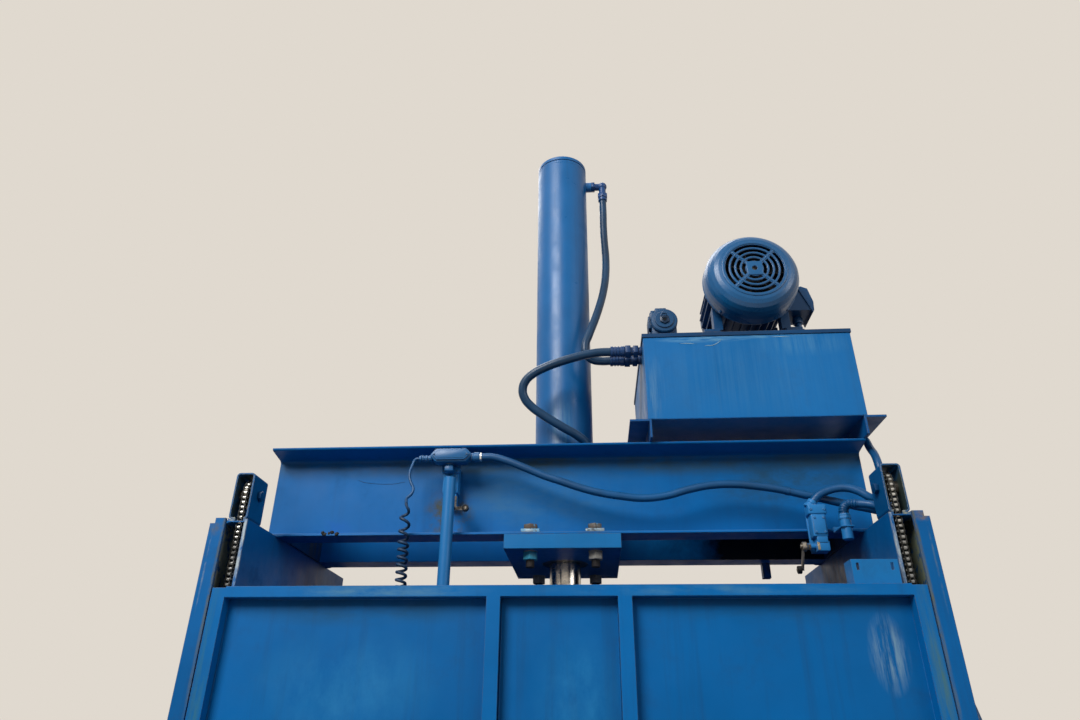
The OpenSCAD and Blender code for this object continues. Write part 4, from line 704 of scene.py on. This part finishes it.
# Oil tank on two angle rails: welded sheet with a loose lid. Its front shows the downward
# strokes of the spray gun, and pale scratches under the lid where tools were laid.
tank_x0, tank_x1, tank_y = 246, 832, 242.5
dress(painted("tank_paint", srgb(6, 104, 168), dark=0.86, grime=0.22, wear=0.55, streak=0.26,
        dust=0.5, edge=0.003, stains=[
    ((420, -tank_y, 2736), (150, 5, 12), (0.16, 0.36, 0.50), 0.8, (20, 20, 200)),
    ((600, -tank_y, 2742), (150, 5, 9), (0.12, 0.30, 0.45), 0.8, (14, 14, 160)),
    ((262, -tank_y, 2580), (36, 5, 120), (0.13, 0.27, 0.40), 0.5, (60, 60, 4)),
    ((540, -tank_y, 2620), (330, 5, 170), (0.055, 0.20, 0.38), 0.24, (90, 90, 2)),
    # painted reflection: the tank's left face made pale grey-blue
    ((242, 0, 2620), (5, 300, 200), (0.20, 0.27, 0.33), 0.6, (3, 3, 2)),
    ((700, -tank_y, 2715), (170, 5, 45), (0.10, 0.28, 0.44), 0.3, (45, 45, 3))]),
    "oil_tank")
dress(painted("lid_paint", srgb(4, 66, 112), dark=0.6, grime=0.6, wear=0.8, streak=0.0, dust=0.6,
    edge=0.002), "tank_lid")
dress(painted("rail_paint", srgb(0, 84, 146), dark=0.7, grime=0.5, wear=0.6, dust=0.5),
    "tank_rails")
weld_beads("rail_welds", 6, [((x, s * 206, 2434), (x, s * 140, 2434))
        for x in (tank_x0, tank_x1) for s in (-1, 1)])
weld_beads("tank_welds", 4, [((tank_x0, s * tank_y, 2487), (tank_x1, s * tank_y, 2487))
        for s in (-1, 1)])
scratches = []
for x, z, long, tilt in [(346, 2724, 52, -0.06), (418, 2714, 30, 0.05), (436, 2715, 34, 0.6),
        (610, 2738, 55, 0.0)]:
    line = [mm(x + long * t / 6, -tank_y - 0.05, z + tilt * long * (t / 6) ** 2) for t in range(7)]
    scratches.append(tube(line, lambda t: 0.0010 * math.sin(math.pi * min(0.98, t + 0.02)) + 2e-4,
        5))
settle(scratches, "tank_scratches", painted("bare_scratch", (0.42, 0.62, 0.72), grime=0.1,
    wear=0.0, gloss=0.5))


# Directional valve on the tank's left corner: a machined drum with a bolted-in cartridge, whose
# hexagon plug faces the front.
valve_paint = painted("valve_paint", srgb(4, 74, 120), dark=0.6, grime=0.5, wear=0.7, streak=0.0,
    edge=0.0015, dust=0.5, gloss=0.35, shine=0.35)
vx, vz = 311, 2815
valve = [
    solid([(27, 0), (28.5, 1.5), (28.5, 4), (37, 5), (40, 8), (40, 84), (37, 87)],
        (vx, -231, vz), TO_REAR, 48),
    slab((vx - 37, -212, 2758), (vx + 37, -124, 2816), 3),
    slab((vx - 46, -205, vz - 16), (vx - 38, -150, vz + 26), 2),
    slab((vx - 42, -221, vz + 6), (vx - 36, -190, vz + 30), 1.5),
    turned([(9, 0), (9.6, 0.6), (9.6, 3)], (vx, -238.4, vz + 9), TO_REAR, 20),
    solid([(8, 0), (9.5, 1.5), (9.5, 4)], (vx - 2, -235, vz + 13), TO_REAR, 20),
    hexagon(17, 8, (vx - 44, -180, vz - 24), TO_RIGHT, 0.8),
    hexagon(17, 8, (vx - 44, -180, vz + 24), TO_RIGHT, 0.8),
    slab((vx - 26, -224, vz + 18), (vx + 8, -198, vz + 43), 2.2),
    slab((vx - 39, -222, vz + 10), (vx - 24, -196, vz + 36), 2)]
settle(valve, "control_valve", valve_paint, "valve_body")
plug_paint = painted("plug_paint", srgb(2, 44, 76), dark=0.6, wear=0.4, streak=0.0, edge=0.001,
    gloss=0.3, shine=0.35)
# painted shade: a near-black disc on the plug's face stands for its recessed socket
painted_socket_shade = painted("painted_socket_shade", (0.008, 0.012, 0.018), wear=0.0, dust=0.0, shine=0.1)
socket = disc(7, 2.2, (vx, -236.8, vz - 2), TO_REAR, 6)
settle(hexagon(26, 5, (vx, -236, vz - 2), TO_REAR, 0.8), "valve_plug", plug_paint)
settle(socket, "valve_socket", painted_socket_shade)


# Electric motor: cast body with cooling fins along it, a pressed cowl over the fan with rings
# of slots, a terminal box with a slanting lid, and the gear pump behind.
motor_paint = painted("motor_paint", srgb(4, 78, 130), dark=0.6, grime=0.5, wear=0.6, streak=0.0,
    dust=0.6, edge=0.0015, gloss=0.36, shine=0.35)
dress(motor_paint, "motor_body", "terminal_box", "hydraulic_pump")
cowl_paint = painted("cowl_paint", srgb(2, 92, 146), dark=0.72, grime=0.3, wear=0.6, streak=0.0,
    dust=0.3, edge=0.003, gloss=0.24, shine=0.5)
dress(cowl_paint, "motor_cowl")
mx, mz = 600, 2991
trim = [turned([(91, 0.5), (92.5, -2.2), (96, -3), (99.5, -1.6), (101, 1)], (mx, -225, mz),
        TO_REAR, 96)]
hub = slab((mx - 25, -227.5, mz - 25), (mx + 25, -224, mz + 25), 2.2, 3)
select_only()
bpy.ops.mesh.primitive_cylinder_add(vertices=28, radius=0.0082, depth=0.02, location=mm(mx, -226,
    mz), rotation=(math.pi / 2, 0, 0))
drill = bpy.context.object
select_only(hub)
cut = hub.modifiers.new("hub_hole", "BOOLEAN")
cut.object = drill
cut.operation = "DIFFERENCE"
bpy.ops.object.modifier_apply(modifier=cut.name)
bpy.data.objects.remove(drill)
trim += [hub, turned([(146, 0), (147.2, 1.2), (147.2, 3.2), (146, 4.4)], (mx, -134.5, mz),
        TO_REAR, 96)]
diagonals = [math.radians(45 + 90 * i) for i in range(4)]
for turn in diagonals:
    rib = slab((26, -226.6, -2.6), (92, -224, 2.6), 1.0)
    rib.data.transform(Matrix.Translation(mm(mx, 0, mz)) @ Matrix.Rotation(turn, 4, "Y"))
    trim.append(rib)
for ring in (41.5, 58.5, 75.5):
    trim.append(turned([(ring - 3, 0), (ring - 2, -1.3), (ring + 2, -1.3), (ring + 3, 0)],
            (mx, -225, mz), TO_REAR, 72))
for turn in diagonals:
    x, z = math.sin(turn), math.cos(turn)
    trim.append(solid([(5.5, 0), (6.5, 1), (6.5, 3), (4, 4.6)],
            (mx + 144.5 * x, -143, mz + 144.5 * z), (x, 0, z), 16))
settle(trim, "cowl_trim", cowl_paint)
bolts = []
for x in (mx - 140, mx + 140):
    for y in (-81, 61):
        bolts += [disc(12, 2, (x, y, 2847), steps=20), hexagon(17, 8, (x, y, 2849), edge=0.8)]
for y in (-68, 12):
    for h in (-26, 2):
        bolts.append(solid([(4.5, 0), (4.5, 1.6), (3, 2.6)],
                (mx + 206.4 - 0.24 * (h + 26), y, mz + h), (0.972, 0, 0.233), 14))
for i in range(6):
    turn = math.radians(30 + 60 * i)
    bolts.append(hexagon(14, 7, (mx + 92 * math.cos(turn), 124, mz + 92 * math.sin(turn)), TO_REAR,
        0.8))
bolts += [solid([(15, 0), (16, 1.5), (16, 9), (13.6, 11)],
        (765, -28, 2900), steps=28), hexagon(30, 8, (765, -28, 2911), edge=1)]
settle(bolts, "motor_bolts", motor_paint)
dress(painted("fan_plastic", (0.012, 0.012, 0.013), wear=0.0, dust=0.3, gloss=0.5, shine=0.3),
    "motor_fan")
dress(bare_metal("shaft_steel", (0.45, 0.44, 0.42), rough=0.3, rust=0.1), "motor_shaft")


# Chain wheels on top of the side plates. Each runs in a short length of box tube that is open
# in front, black with grease inside, and its edges are chipped to bright metal.
wheel_y, wheel_z = -342, 2250
box_grease, box_grain = (0.028, 0.042, 0.036), (9, 9, 9)
for s, side_name in ((-1, "left"), (1, "right")):
    dress(painted("chain_box_paint_" + side_name, srgb(0, 86, 142), dark=0.7, grime=0.45,
            wear=1.0, streak=0.2, dust=0.4, edge=0.0022, under=(0.36, 0.38, 0.38),
            stains=[
        ((s * 785.6, -344, 2240), (3.6, 90, 90), box_grease, 2.3, box_grain),
        ((s * 824.4, -344, 2240), (3.6, 90, 90), box_grease, 2.3, box_grain),
        ((s * 805, -344, 2296), (24, 60, 3.4), box_grease, 2.3, box_grain),
        ((s * 805, -344, 2184), (24, 60, 3.4), box_grease, 2.3, box_grain),
        ((s * 805, -385, 2182), (24, 6, 6), (0.30, 0.32, 0.26), 1.6, (90, 90, 90))]),
        "sprocket_box_" + side_name)
dress(bare_metal("greasy_wheel", (0.13, 0.12, 0.10), rough=0.35, rust_colour=(0.03, 0.02, 0.012)),
    "sprocket_left", "sprocket_right")
axles = []
for s in (-1, 1):
    outward = (s, 0, 0)
    axles += [hexagon(24, 10, (s * 771, wheel_y, wheel_z), outward, 1.4),
        solid([(8, 0), (8, 60), (7, 61)],
            (s * 780.6, wheel_y, wheel_z), outward, 28),
        turned([(8.3, 0), (15, 0), (15, 2.4), (8.3, 2.4)],
            (s * 829, wheel_y, wheel_z), outward, 28),
        hexagon(24, 8, (s * 831, wheel_y, wheel_z), outward, 1.4)]
axle_paint = painted("axle_bolt_paint", srgb(0, 70, 120), dark=0.6, grime=0.5, wear=0.8,
    streak=0.0, edge=0.0015)
settle(axles, "axle_bolts", axle_paint, "sprocket_axles")


# Roller chains, 12.7 mm pitch, from the gate over the wheels down to the counterweights. Two
# kinds of link alternate, and the riveted pin ends are polished bright where they rub.
pitch, tooth_turn, plate_r, plate_thick = 12.7, 2 * math.pi / 17, 5.8, 1.5
wheel_reach = pitch / (2 * math.sin(math.pi / 17))


# one side plate, a figure of eight from pin to pin
def chain_plate(offset):
    outline = []
    for middle, first, waist in ((pitch, -120, 4.3), (0, 60, -4.3)):
        for k in range(7):
            a = math.radians(first + 40 * k)
            outline.append((middle + plate_r * math.cos(a), plate_r * math.sin(a)))
        outline.append((pitch / 2, waist))
    n = len(outline)
    skin = [tuple(reversed(range(n))), tuple(range(n, 2 * n))]
    skin += [(i, (i + 1) % n, n + (i + 1) % n, n + i) for i in range(n)]
    return from_points([mm(x, z, offset + t) for t in (0, plate_thick) for x, z in outline],
        [], skin)


# copies of a shape at spots in the Y-Z plane; its own X is laid along the chain
def place_copies(shape, spots):
    made = []
    for (y, z), along in spots:
        copy = bpy.data.objects.new("link", shape.data.copy())
        bpy.context.collection.objects.link(copy)
        copy.data.transform(Matrix(((0, 0, 1, 0), (math.cos(along), -math.sin(along), 0, y / 1000),
            (math.sin(along), math.cos(along), 0, z / 1000), (0, 0, 0, 1))))
        made.append(copy)
    return merge(*made)


outer_link = merge(chain_plate(5.7), chain_plate(-7.2))
inner_link = merge(chain_plate(4.0), chain_plate(-5.5))
pin_shape = turned([(0, -8.9), (1.4, -8.62), (2, -8.2), (2, 8.2), (1.4, 8.62), (0, 8.9)],
    (0, 0, 0), steps=8)
roller_shape = turned([(0, -3.95), (3.95, -3.95), (3.95, 3.95), (0, 3.95)], (0, 0, 0), steps=10)
pins = [(wheel_y - wheel_reach, wheel_z - i * pitch) for i in range(81, 0, -1)]
pins += [(wheel_y + wheel_reach * math.cos(math.pi - i * tooth_turn),
        wheel_z + wheel_reach * math.sin(math.pi - i * tooth_turn)) for i in range(9)]
first_rear = wheel_z + wheel_reach * math.sin(math.pi - 16 * math.pi / 17) - pitch
pins += [(wheel_y + wheel_reach, first_rear - i * pitch) for i in range(68)]
links = [(a, math.atan2(b[1] - a[1], b[0] - a[0])) for a, b in zip(pins, pins[1:])]
plates = merge(place_copies(outer_link, links[0::2]), place_copies(inner_link, links[1::2]))
heads = merge(place_copies(pin_shape, [(p, 0) for p in pins]),
    place_copies(roller_shape, [(p, 0) for p in pins]))
greasy_chain = bare_metal("greasy_chain", (0.12, 0.115, 0.11), rough=0.3, rust=0.85,
    rust_colour=(0.012, 0.012, 0.009), grain=500)
bright_pins = bare_metal("bright_pins", (0.72, 0.70, 0.64), rough=0.26, rust=0.4,
    rust_colour=(0.05, 0.048, 0.035), metal=0.6)
for s, side_name in ((-1, "left"), (1, "right")):
    for part, finish, kind, stands_for in (
            (plates, greasy_chain, "chain_links_", ["chain_" + side_name]),
            (heads, bright_pins, "chain_pins_", [])):
        run = bpy.data.objects.new("run", part.data.copy())
        bpy.context.collection.objects.link(run)
        run.data.transform(Matrix.Translation(mm(s * 801, 0, 0)))
        settle(run, kind + side_name, finish, *stands_for, slot="chain_steel")
for pattern in (outer_link, inner_link, pin_shape, roller_shape, plates, heads):
    bpy.data.objects.remove(pattern)
dress(painted("weight_paint", srgb(6, 60, 100), dark=0.6, grime=0.7, wear=1.0, streak=0.3),
    "counterweight_left", "counterweight_right")


# Limit switches, one at each side on the front beam. Their cast housings were painted over
# together with the screws; only the shafts that carry the levers show dirty brass.
def screw_heads(size, y, across, heights):
    rows = [(0, 0), (size, 0), (size, size * 0.35), (size * 0.75, size * 0.6),
        (size * 0.35, size * 0.6), (size * 0.3, size * 0.3), (0, size * 0.3)]
    return [turned(rows, (x, y, z), TO_FRONT, 16) for x in across for z in heights]


switch_paint = painted("switch_paint", srgb(38, 124, 188), dark=0.75, grime=0.45, wear=0.7,
    streak=0.0, edge=0.0012, dust=0.35, bump=0.1, under=(0.30, 0.27, 0.20))
dirty_brass = bare_metal("dirty_brass", (0.50, 0.42, 0.28), rust=0.5, rust_colour=(0.05, 0.04,
    0.03), paint=0.2)
left_switch = [
    slab((-336, -178, 2304), (-292, -137, 2382), 3),
    slab((-340, -184, 2360), (-288, -176, 2386), 2.5),
    slab((-332, -181.5, 2308), (-296, -176, 2356), 2),
    slab((-332, -174, 2272), (-296, -143, 2305), 3),
    solid([(7, 0), (7, 24), (6, 26)], (-306, -197.5, 2284), TO_REAR, 24),
    disc(11, 9, (-314, -163, 2381)),
    *screw_heads(3.6, -184, (-333, -295), (2366, 2380)),
    *screw_heads(3.6, -181.5, (-327, -301), (2313, 2351))]
settle(left_switch, "left_limit_switch", switch_paint, "limit_switch_left")
settle([disc(3, 16, (-306, -212, 2284), TO_REAR, 20),
    turned([(7.2, 0), (8.4, 0.5), (8.4, 4), (7.2, 4.5)], (-306, -196, 2284), TO_REAR, 20)],
    "left_switch_shaft", dirty_brass, slot="bare_steel")
tilt = Vector((7, -0.5, 8)).normalized()
gland_top = mm(654, -236, 2251) * 1000
right_switch = [
    slab((636, -212.5, 2122), (676, -206.6, 2240), 1.2),
    slab((638.5, -247, 2157), (675.5, -212, 2226), 3.5, 3),
    slab((642, -250, 2163), (672.5, -245.5, 2210), 2.2),
    slab((634, -249.5, 2214), (680, -212, 2240), 4, 3),
    slab((646, -245.5, 2142), (673, -214, 2160), 2.5),
    slab((644, -243.5, 2122), (676, -215, 2147), 2.5),
    disc(7, 22, (623.5, -228, 2136), TO_RIGHT),
    *screw_heads(3.2, -250, (646, 668.5), (2168, 2205)),
    *screw_heads(3.8, -249.5, (640, 674), (2227,)),
    solid([(11, 0), (13, 1.5), (13, 9), (11.5, 10.5), (11.5, 13), (13, 14.5), (13, 22), (10.6, 24)],
        gland_top - tilt * 24, tilt, 28),
    hexagon(25, 7, gland_top - tilt * 23, tilt, 1)]
settle(right_switch, "right_limit_switch", switch_paint, "limit_switch_right")
settle([disc(3, 20, (608, -228, 2136), TO_RIGHT, 20),
    turned([(7.2, 0), (8.8, 0.6), (8.8, 6), (7.2, 7)], (624, -228, 2136), TO_RIGHT, 20),
    hexagon(12, 5, (632, -228, 2136), TO_RIGHT, 0.8),
    slab((644.5, -244.6, 2124), (651, -243, 2144), 0.6)],
    "right_switch_shaft", dirty_brass, slot="bare_steel")


# Roller levers: stamped arms clamped on the switch shafts, each with a black nylon roller.
# The right arm is modelled hanging from its shaft and then swung 35 degrees to the rear.
def roller(place, along, radius, width):
    return turned([(2.2, 0), (radius - 1, 0), (radius, 1), (radius, width - 1),
            (radius - 1, width), (2.2, width)], place, along, 28)


lever_steel = bare_metal("lever_steel", (0.42, 0.38, 0.32), rough=0.35, rust=0.45,
    rust_colour=(0.06, 0.045, 0.03))
roller_nylon = painted("roller_nylon", (0.010, 0.010, 0.011), grime=0.3, wear=0.0, dust=0.15)
left_arm = [
    turned([(3.1, 0), (10, 0), (11, 1), (11, 11), (10, 12), (3.1, 12)], (-306, -210, 2284),
        TO_REAR, 28),
    slab((-298, -209, 2246), (-288, -203, 2286), 1.2),
    slab((-298, -209, 2246), (-262, -203, 2256), 1.2),
    solid([(3.4, 0), (3.4, 1.2), (2, 2), (2, 15)], (-262, -217, 2251),
        TO_REAR, 16),
    hexagon(9, 4, (-306, -214, 2284), TO_REAR, 0.5)]
settle(left_arm, "left_lever_arm", lever_steel, "lever_left", body="left_switch_lever",
    slot="bare_steel")
settle(roller((-262, -216, 2251), TO_REAR, 9, 13), "left_lever_roller", roller_nylon,
    body="left_switch_lever", slot="wear_plastic")
right_arm = [
    slab((-2, -5.5, -62), (3.4, 5.5, -8), 1.2),
    solid([(3.6, 0), (3.6, 1), (2, 1.8), (2, 17), (3, 18)], (-14, 0, -62),
        TO_RIGHT, 16)]
right_roller = roller((-12, 0, -62), TO_RIGHT, 10, 10)
swing = Matrix.Translation(mm(612, -228, 2136)) @ Matrix.Rotation(math.radians(35), 4, "X")
for piece in (*right_arm, right_roller):
    piece.data.transform(swing)
right_arm += [turned([(3.1, 0), (11, 0), (12, 1), (12, 10), (11, 11), (3.1, 11)],
        (610, -228, 2136), TO_RIGHT, 28),
    hexagon(10, 4, (606.5, -228, 2136), TO_RIGHT, 0.6)]
settle(right_arm, "right_lever_arm", lever_steel, "lever_right", body="right_switch_lever",
    slot="bare_steel")
settle(right_roller, "right_lever_roller", roller_nylon, body="right_switch_lever",
    slot="wear_plastic")


# Cast conduit body over the left switch: a long oval box with a screwed cover, a hub at each
# end and a neck down to the switch. A bright ring closes its right hub.
def cast_plate(front, back, low, high, corner, edge):
    (x0, z0), (x1, z1) = low, high
    outline = [(x0, z0 + corner), (x0 + corner, z0), (x1 - corner, z0), (x1, z0 + corner),
        (x1, z1 - corner), (x1 - corner, z1), (x0 + corner, z1), (x0, z1 - corner)]
    n = len(outline)
    skin = [tuple(range(n)), tuple(reversed(range(n, 2 * n)))]
    skin += [(i, n + i, n + (i + 1) % n, (i + 1) % n) for i in range(n)]
    made = from_points([mm(x, y, z) for y in (front, back) for x, z in outline], [], skin)
    close_up()
    return soften(made, edge, 3)


cx, cz = -304, 2396
conduit_box = [
    cast_plate(-230, -196, (cx - 62, cz - 19), (cx + 54, cz + 21), 16, 4),
    cast_plate(-235, -229.5, (cx - 56, cz - 14), (cx + 48, cz + 18), 13, 1.2),
    cast_plate(-236, -234, (cx - 50, cz - 10), (cx + 42, cz + 14), 10, 1.0),
    solid([(12, 0), (12, 6), (14, 8), (14, 22), (12, 24)],
           (-252, -212, 2395), TO_RIGHT, 32),
    solid([(9, 0), (9, 4), (7, 5), (7, 8), (9, 9), (9, 14), (7, 15), (7, 18), (9, 19), (9, 27)],
        (-389, -216, 2392), TO_RIGHT, 24),
    hexagon(17, 7, (-398, -216, 2392), TO_RIGHT, 0.8),
    solid([(10, 0), (10, 18), (9, 20)], (-314, -206, 2360), steps=28),
    slab((-326, -216, 2356), (-302, -184, 2372), 2.5),
    *screw_heads(3, -236, (cx - 50, cx + 42), (cz + 2,))]
cast_paint = painted("cast_box_paint", srgb(16, 92, 146), dark=0.7, grime=0.5, wear=0.8,
    streak=0.0, edge=0.0014, dust=0.5, gloss=0.3, shine=0.4, under=(0.40, 0.42, 0.42))
settle(conduit_box, "conduit_box", cast_paint, "conduit_body", slot="conduit_metal")
settle(solid([(11.5, 0), (12.6, 0.8), (12.6, 5.4), (11.5, 6)],
        (-228.3, -212, 2395), TO_RIGHT, 32), "conduit_ring",
    bare_metal("bright_ring", (0.90, 0.90, 0.88), rough=0.2, rust=0.0),
    slot="conduit_metal")


# Gate sensor: a round probe that looks down at the gate's flag, held by two nuts in a bracket
# from the beam's lip, with a ribbed boot where its conduit turns away.
px, py = 717, -262
probe = [
    solid([(11, 0), (13.5, 2), (13.5, 50), (12, 52)], (px, py, 2144),
        steps=32),
    turned(threaded(11, 12, 2.0), (px, py, 2196), steps=24),
    hexagon(28, 8, (px, py, 2195)), hexagon(26, 6, (px, py, 2203)),
    slab((701, -278, 2174), (733, -206.8, 2178), 1.0),
    slab((701, -210.5, 2174), (733, -206.6, 2190), 1.0)]
settle(probe, "gate_probe", switch_paint, "gate_sensor")
boot_line = [mm(*p) for p in [
    (px, py, 2209), (px, py, 2214), (717.6, -262.1, 2219), (719.4, -262.5, 2224),
    (722, -263, 2229), (726, -263.6, 2232.4), (731, -264.4, 2234.4), (737, -265.4, 2235.1),
    (744, -267, 2234.9), (752, -269, 2234)]]
fine_line = [a.lerp(b, t / 5) for a, b in zip(boot_line, boot_line[1:]) for t in range(5)]
settle(tube(fine_line + boot_line[-1:],
        lambda t: (11.6 + 1.2 * math.sin(t * 2 * math.pi * 9)) / 1000, 20),
    "ribbed_boot", conduit_skin, slot="conduit_cover")
settle(tube([mm(596, -212, 2287.2), mm(600, -212, 2286.2), mm(604, -212, 2285.2)], 0.0114, 24),
    "conduit_joint", conduit_skin, slot="conduit_cover")


# Feed gate: a frame of folded sections with two angle ribs and a thin welded-in sheet. Its
# stiles are worn green where they slide behind the posts, and a spill has run down the sheet.
sheet, sheet_weld = -393, -394
dress(painted("gate_paint", srgb(2, 102, 168), dark=0.84, grime=0.32, wear=0.6, dust=0.5,
        shine=0.13, stains=[
    ((-797, -420, 1800), (17, 8, 300), (0.05, 0.16, 0.12), 0.7, (40, 40, 4)),
    ((797, -420, 1800), (17, 8, 300), (0.08, 0.16, 0.09), 0.8, (40, 40, 4)),
    ((-400, -422, 1998), (260, 6, 18), (0.10, 0.24, 0.34), 0.6, (9, 9, 40)),
    ((330, -422, 1998), (420, 6, 16), (0.07, 0.22, 0.36), 0.5, (9, 9, 40))]), "gate_frame")
dress(painted("gate_sheet_paint", srgb(2, 96, 160), dark=0.80, grime=0.3, streak=0.5,
        cloud_size=1.8, shine=0.13, stains=[
    ((712, sheet, 1868), (46, 6, 90), (0.20, 0.33, 0.42), 0.85, (60, 60, 6)),
    ((-480, sheet, 1800), (230, 6, 130), (0.02, 0.19, 0.42), 0.6, (5, 5, 3)),
    ((40, sheet, 1770), (110, 6, 160), (0.02, 0.20, 0.44), 0.6, (5, 5, 3)),
    # painted shadow: a dark band along the top of the sheet, under the top rail
    *stain_pair((-470, sheet, 1960), (330, 6, 40), (0.01, 0.06, 0.12), 0.6, (3, 3, 9))]),
    "gate_panel")
dress(painted("flag_paint", srgb(10, 110, 172), dark=0.8, wear=0.8, streak=0.2, edge=0.0015),
    "gate_flag")
weld_beads("gate_welds", 4,
    mirrored([((x, sheet_weld, 1246), (x, sheet_weld, 1984)) for x in (132, 166, 779)])
    + [((x0, sheet_weld, z), (x1, sheet_weld, z)) for z in (1246, 1984)
        for x0, x1 in ((-778, -170), (-128, 128), (170, 778))], "gate")
weld_beads("flag_welds", 4, [((x0, -408, 2011), (x1, -408, 2011))
        for x0, x1 in ((668, 690), (735, 762))], "gate")


# Ram: hard-chromed rod bolted through a flange to the pressing platen, whose pockets hold dirt
# from the bales. Nylon shoes guide its corners, and a painted tube works the left switch.
chrome = bare_metal("hard_chrome", (0.62, 0.58, 0.52), rough=0.17, rust=0.12, rust_colour=(0.20,
    0.14, 0.09), metal=1.0)
platen_paint = painted("platen_paint", machine_blue, dark=0.6, grime=0.8, wear=0.9, streak=0.2,
    dust=0.9, stains=[
    ((0, 0, 1852), (900, 500, 8), scraped, 1.0, (9, 9, 9))])
dress(platen_paint, "platen")
settle(disc(44.5, 1461, (0, 0, 2002), steps=64), "ram_rod", chrome, "piston_rod", body="ram",
    slot="chrome")
flange = [turned([(44.6, 0), (85, 0), (85, 20), (83, 22), (46, 22), (44.6, 20.5)], (0, 0, 2002),
        steps=64)]
for turn in diagonals:
    x, y = 66 * math.cos(turn), 66 * math.sin(turn)
    flange += [disc(12, 2, (x, y, 2024)), hexagon(19, 7, (x, y, 2026), edge=1)]
settle(flange, "rod_flange", platen_paint, body="ram", slot="bare_steel")
dress(painted("shoe_nylon", (0.020, 0.020, 0.021), grime=0.6, wear=0.0, dust=0.4, under=(0.1, 0.1,
    0.1)), "platen_shoes")
dress(painted("tube_paint", srgb(32, 112, 172), dark=0.8, grime=0.35, wear=0.5, streak=0.5,
    dust=0.3, gloss=0.35), "trip_tube")
pocket = 1868.5
weld_beads("platen_welds", 6,
    [((-745, y, pocket), (745, y, pocket)) for y in (-58, -323, 363, 57)]
    + [((x, -323, pocket), (x, -71, pocket)) for x in (-500, -247, 247, 500)], "ram")
foot = [(-317, -250, 1869), (-301, -266, 1869), (-285, -250, 1869), (-301, -234, 1869)]
weld_beads("tube_weld", 6, list(zip(foot, foot[1:] + foot[:1])), "ram")


# Bale door under the feed opening: skinned channels with slots for the tying wires, on three
# pinned hinges, drawn shut by a hook on a handwheel. The photograph stops above it.
dress(painted("door_paint", machine_blue, dark=0.76, wear=0.7, streak=0.4, dust=0.4, stains=[
    ((0, -387, 240), (760, 5, 90), (0.10, 0.10, 0.09), 0.5, (9, 9, 20)),
    ((700, -387, 330), (110, 5, 110), (0.06, 0.05, 0.04), 0.6, (20, 20, 20))]),
    "chamber_door")
weld_beads("door_welds", 5, [((x + e, -380.5, 182), (x + e, -380.5, 1150))
        for x in (-574.4, -287.2, 0, 287.2, 574.4) for e in (-24.5, 24.5)],
    "bale_door")
weld_beads("hinge_welds", 6, [((-748, -379, z + 4), (-748, -379, z + 66))
        for z in (260, 620, 980)], "bale_door")
wheel_metal = bare_metal("wheel_metal", (0.14, 0.14, 0.14), rough=0.45, rust=0.5, paint=0.5)
dress(wheel_metal, "door_latch")
settle([disc(15, 2.5, (700, -429.2, 330), TO_FRONT, 28),
    hexagon(24, 4.2, (700, -431.5, 330), TO_FRONT, 1.2)], "wheel_nut", wheel_metal,
    body="latch", slot="wheel_steel")


# Electrical cabinet on the right post, cut off in the photograph: a sheet box with a lipped
# door on two pins, and two push buttons in plain rings.
dress(painted("cabinet_paint", machine_blue, dark=0.84, grime=0.3, wear=0.5, streak=0.3, dust=0.5,
    edge=0.002), "control_box", "control_door")
button_x, start_z, stop_z = 1001, 1490, 1410
green_cap, red_cap = [
    painted(name, colour, dark=0.85, wear=0.0, streak=0.0, gloss=0.3, shine=0.5)
    for name, colour in (("green_cap", (0.010, 0.16, 0.035)),
        ("red_cap", (0.42, 0.012, 0.010)))]
settle(solid([(9, 0), (10.4, 0.4), (11, 1.2), (11, 18)],
        (button_x, -422, start_z), TO_REAR, 40),
    "start_cap", green_cap, "start_button", body="start_push", slot="green_plastic")
settle(turned([(0, 0), (10, 0.3), (15, 1.2), (19, 3.2), (20, 5), (20, 9), (18.5, 11.5),
        (12, 12), (11, 12.4), (11, 32), (0, 32)], (button_x, -436, stop_z), TO_REAR, 48),
    "stop_cap", red_cap, "stop_button", body="stop_push", slot="red_plastic")
collars = [turned([(12.4, 0), (15.5, 0), (17, 1), (17, 2.6), (12.4, 2.6)],
        (button_x, -416.6, z), TO_REAR, 40) for z in (stop_z, start_z)]
settle(collars, "button_collars", bare_metal("collar_grey", (0.42, 0.42, 0.42), rough=0.3,
    rust=0.05), body="cabinet_door", slot="bare_steel")
weld_beads("cabinet_welds", 5, [((857, y, z), (857, y + 10, z)) for y in (-395, -245)
        for z in (1220, 1530)])
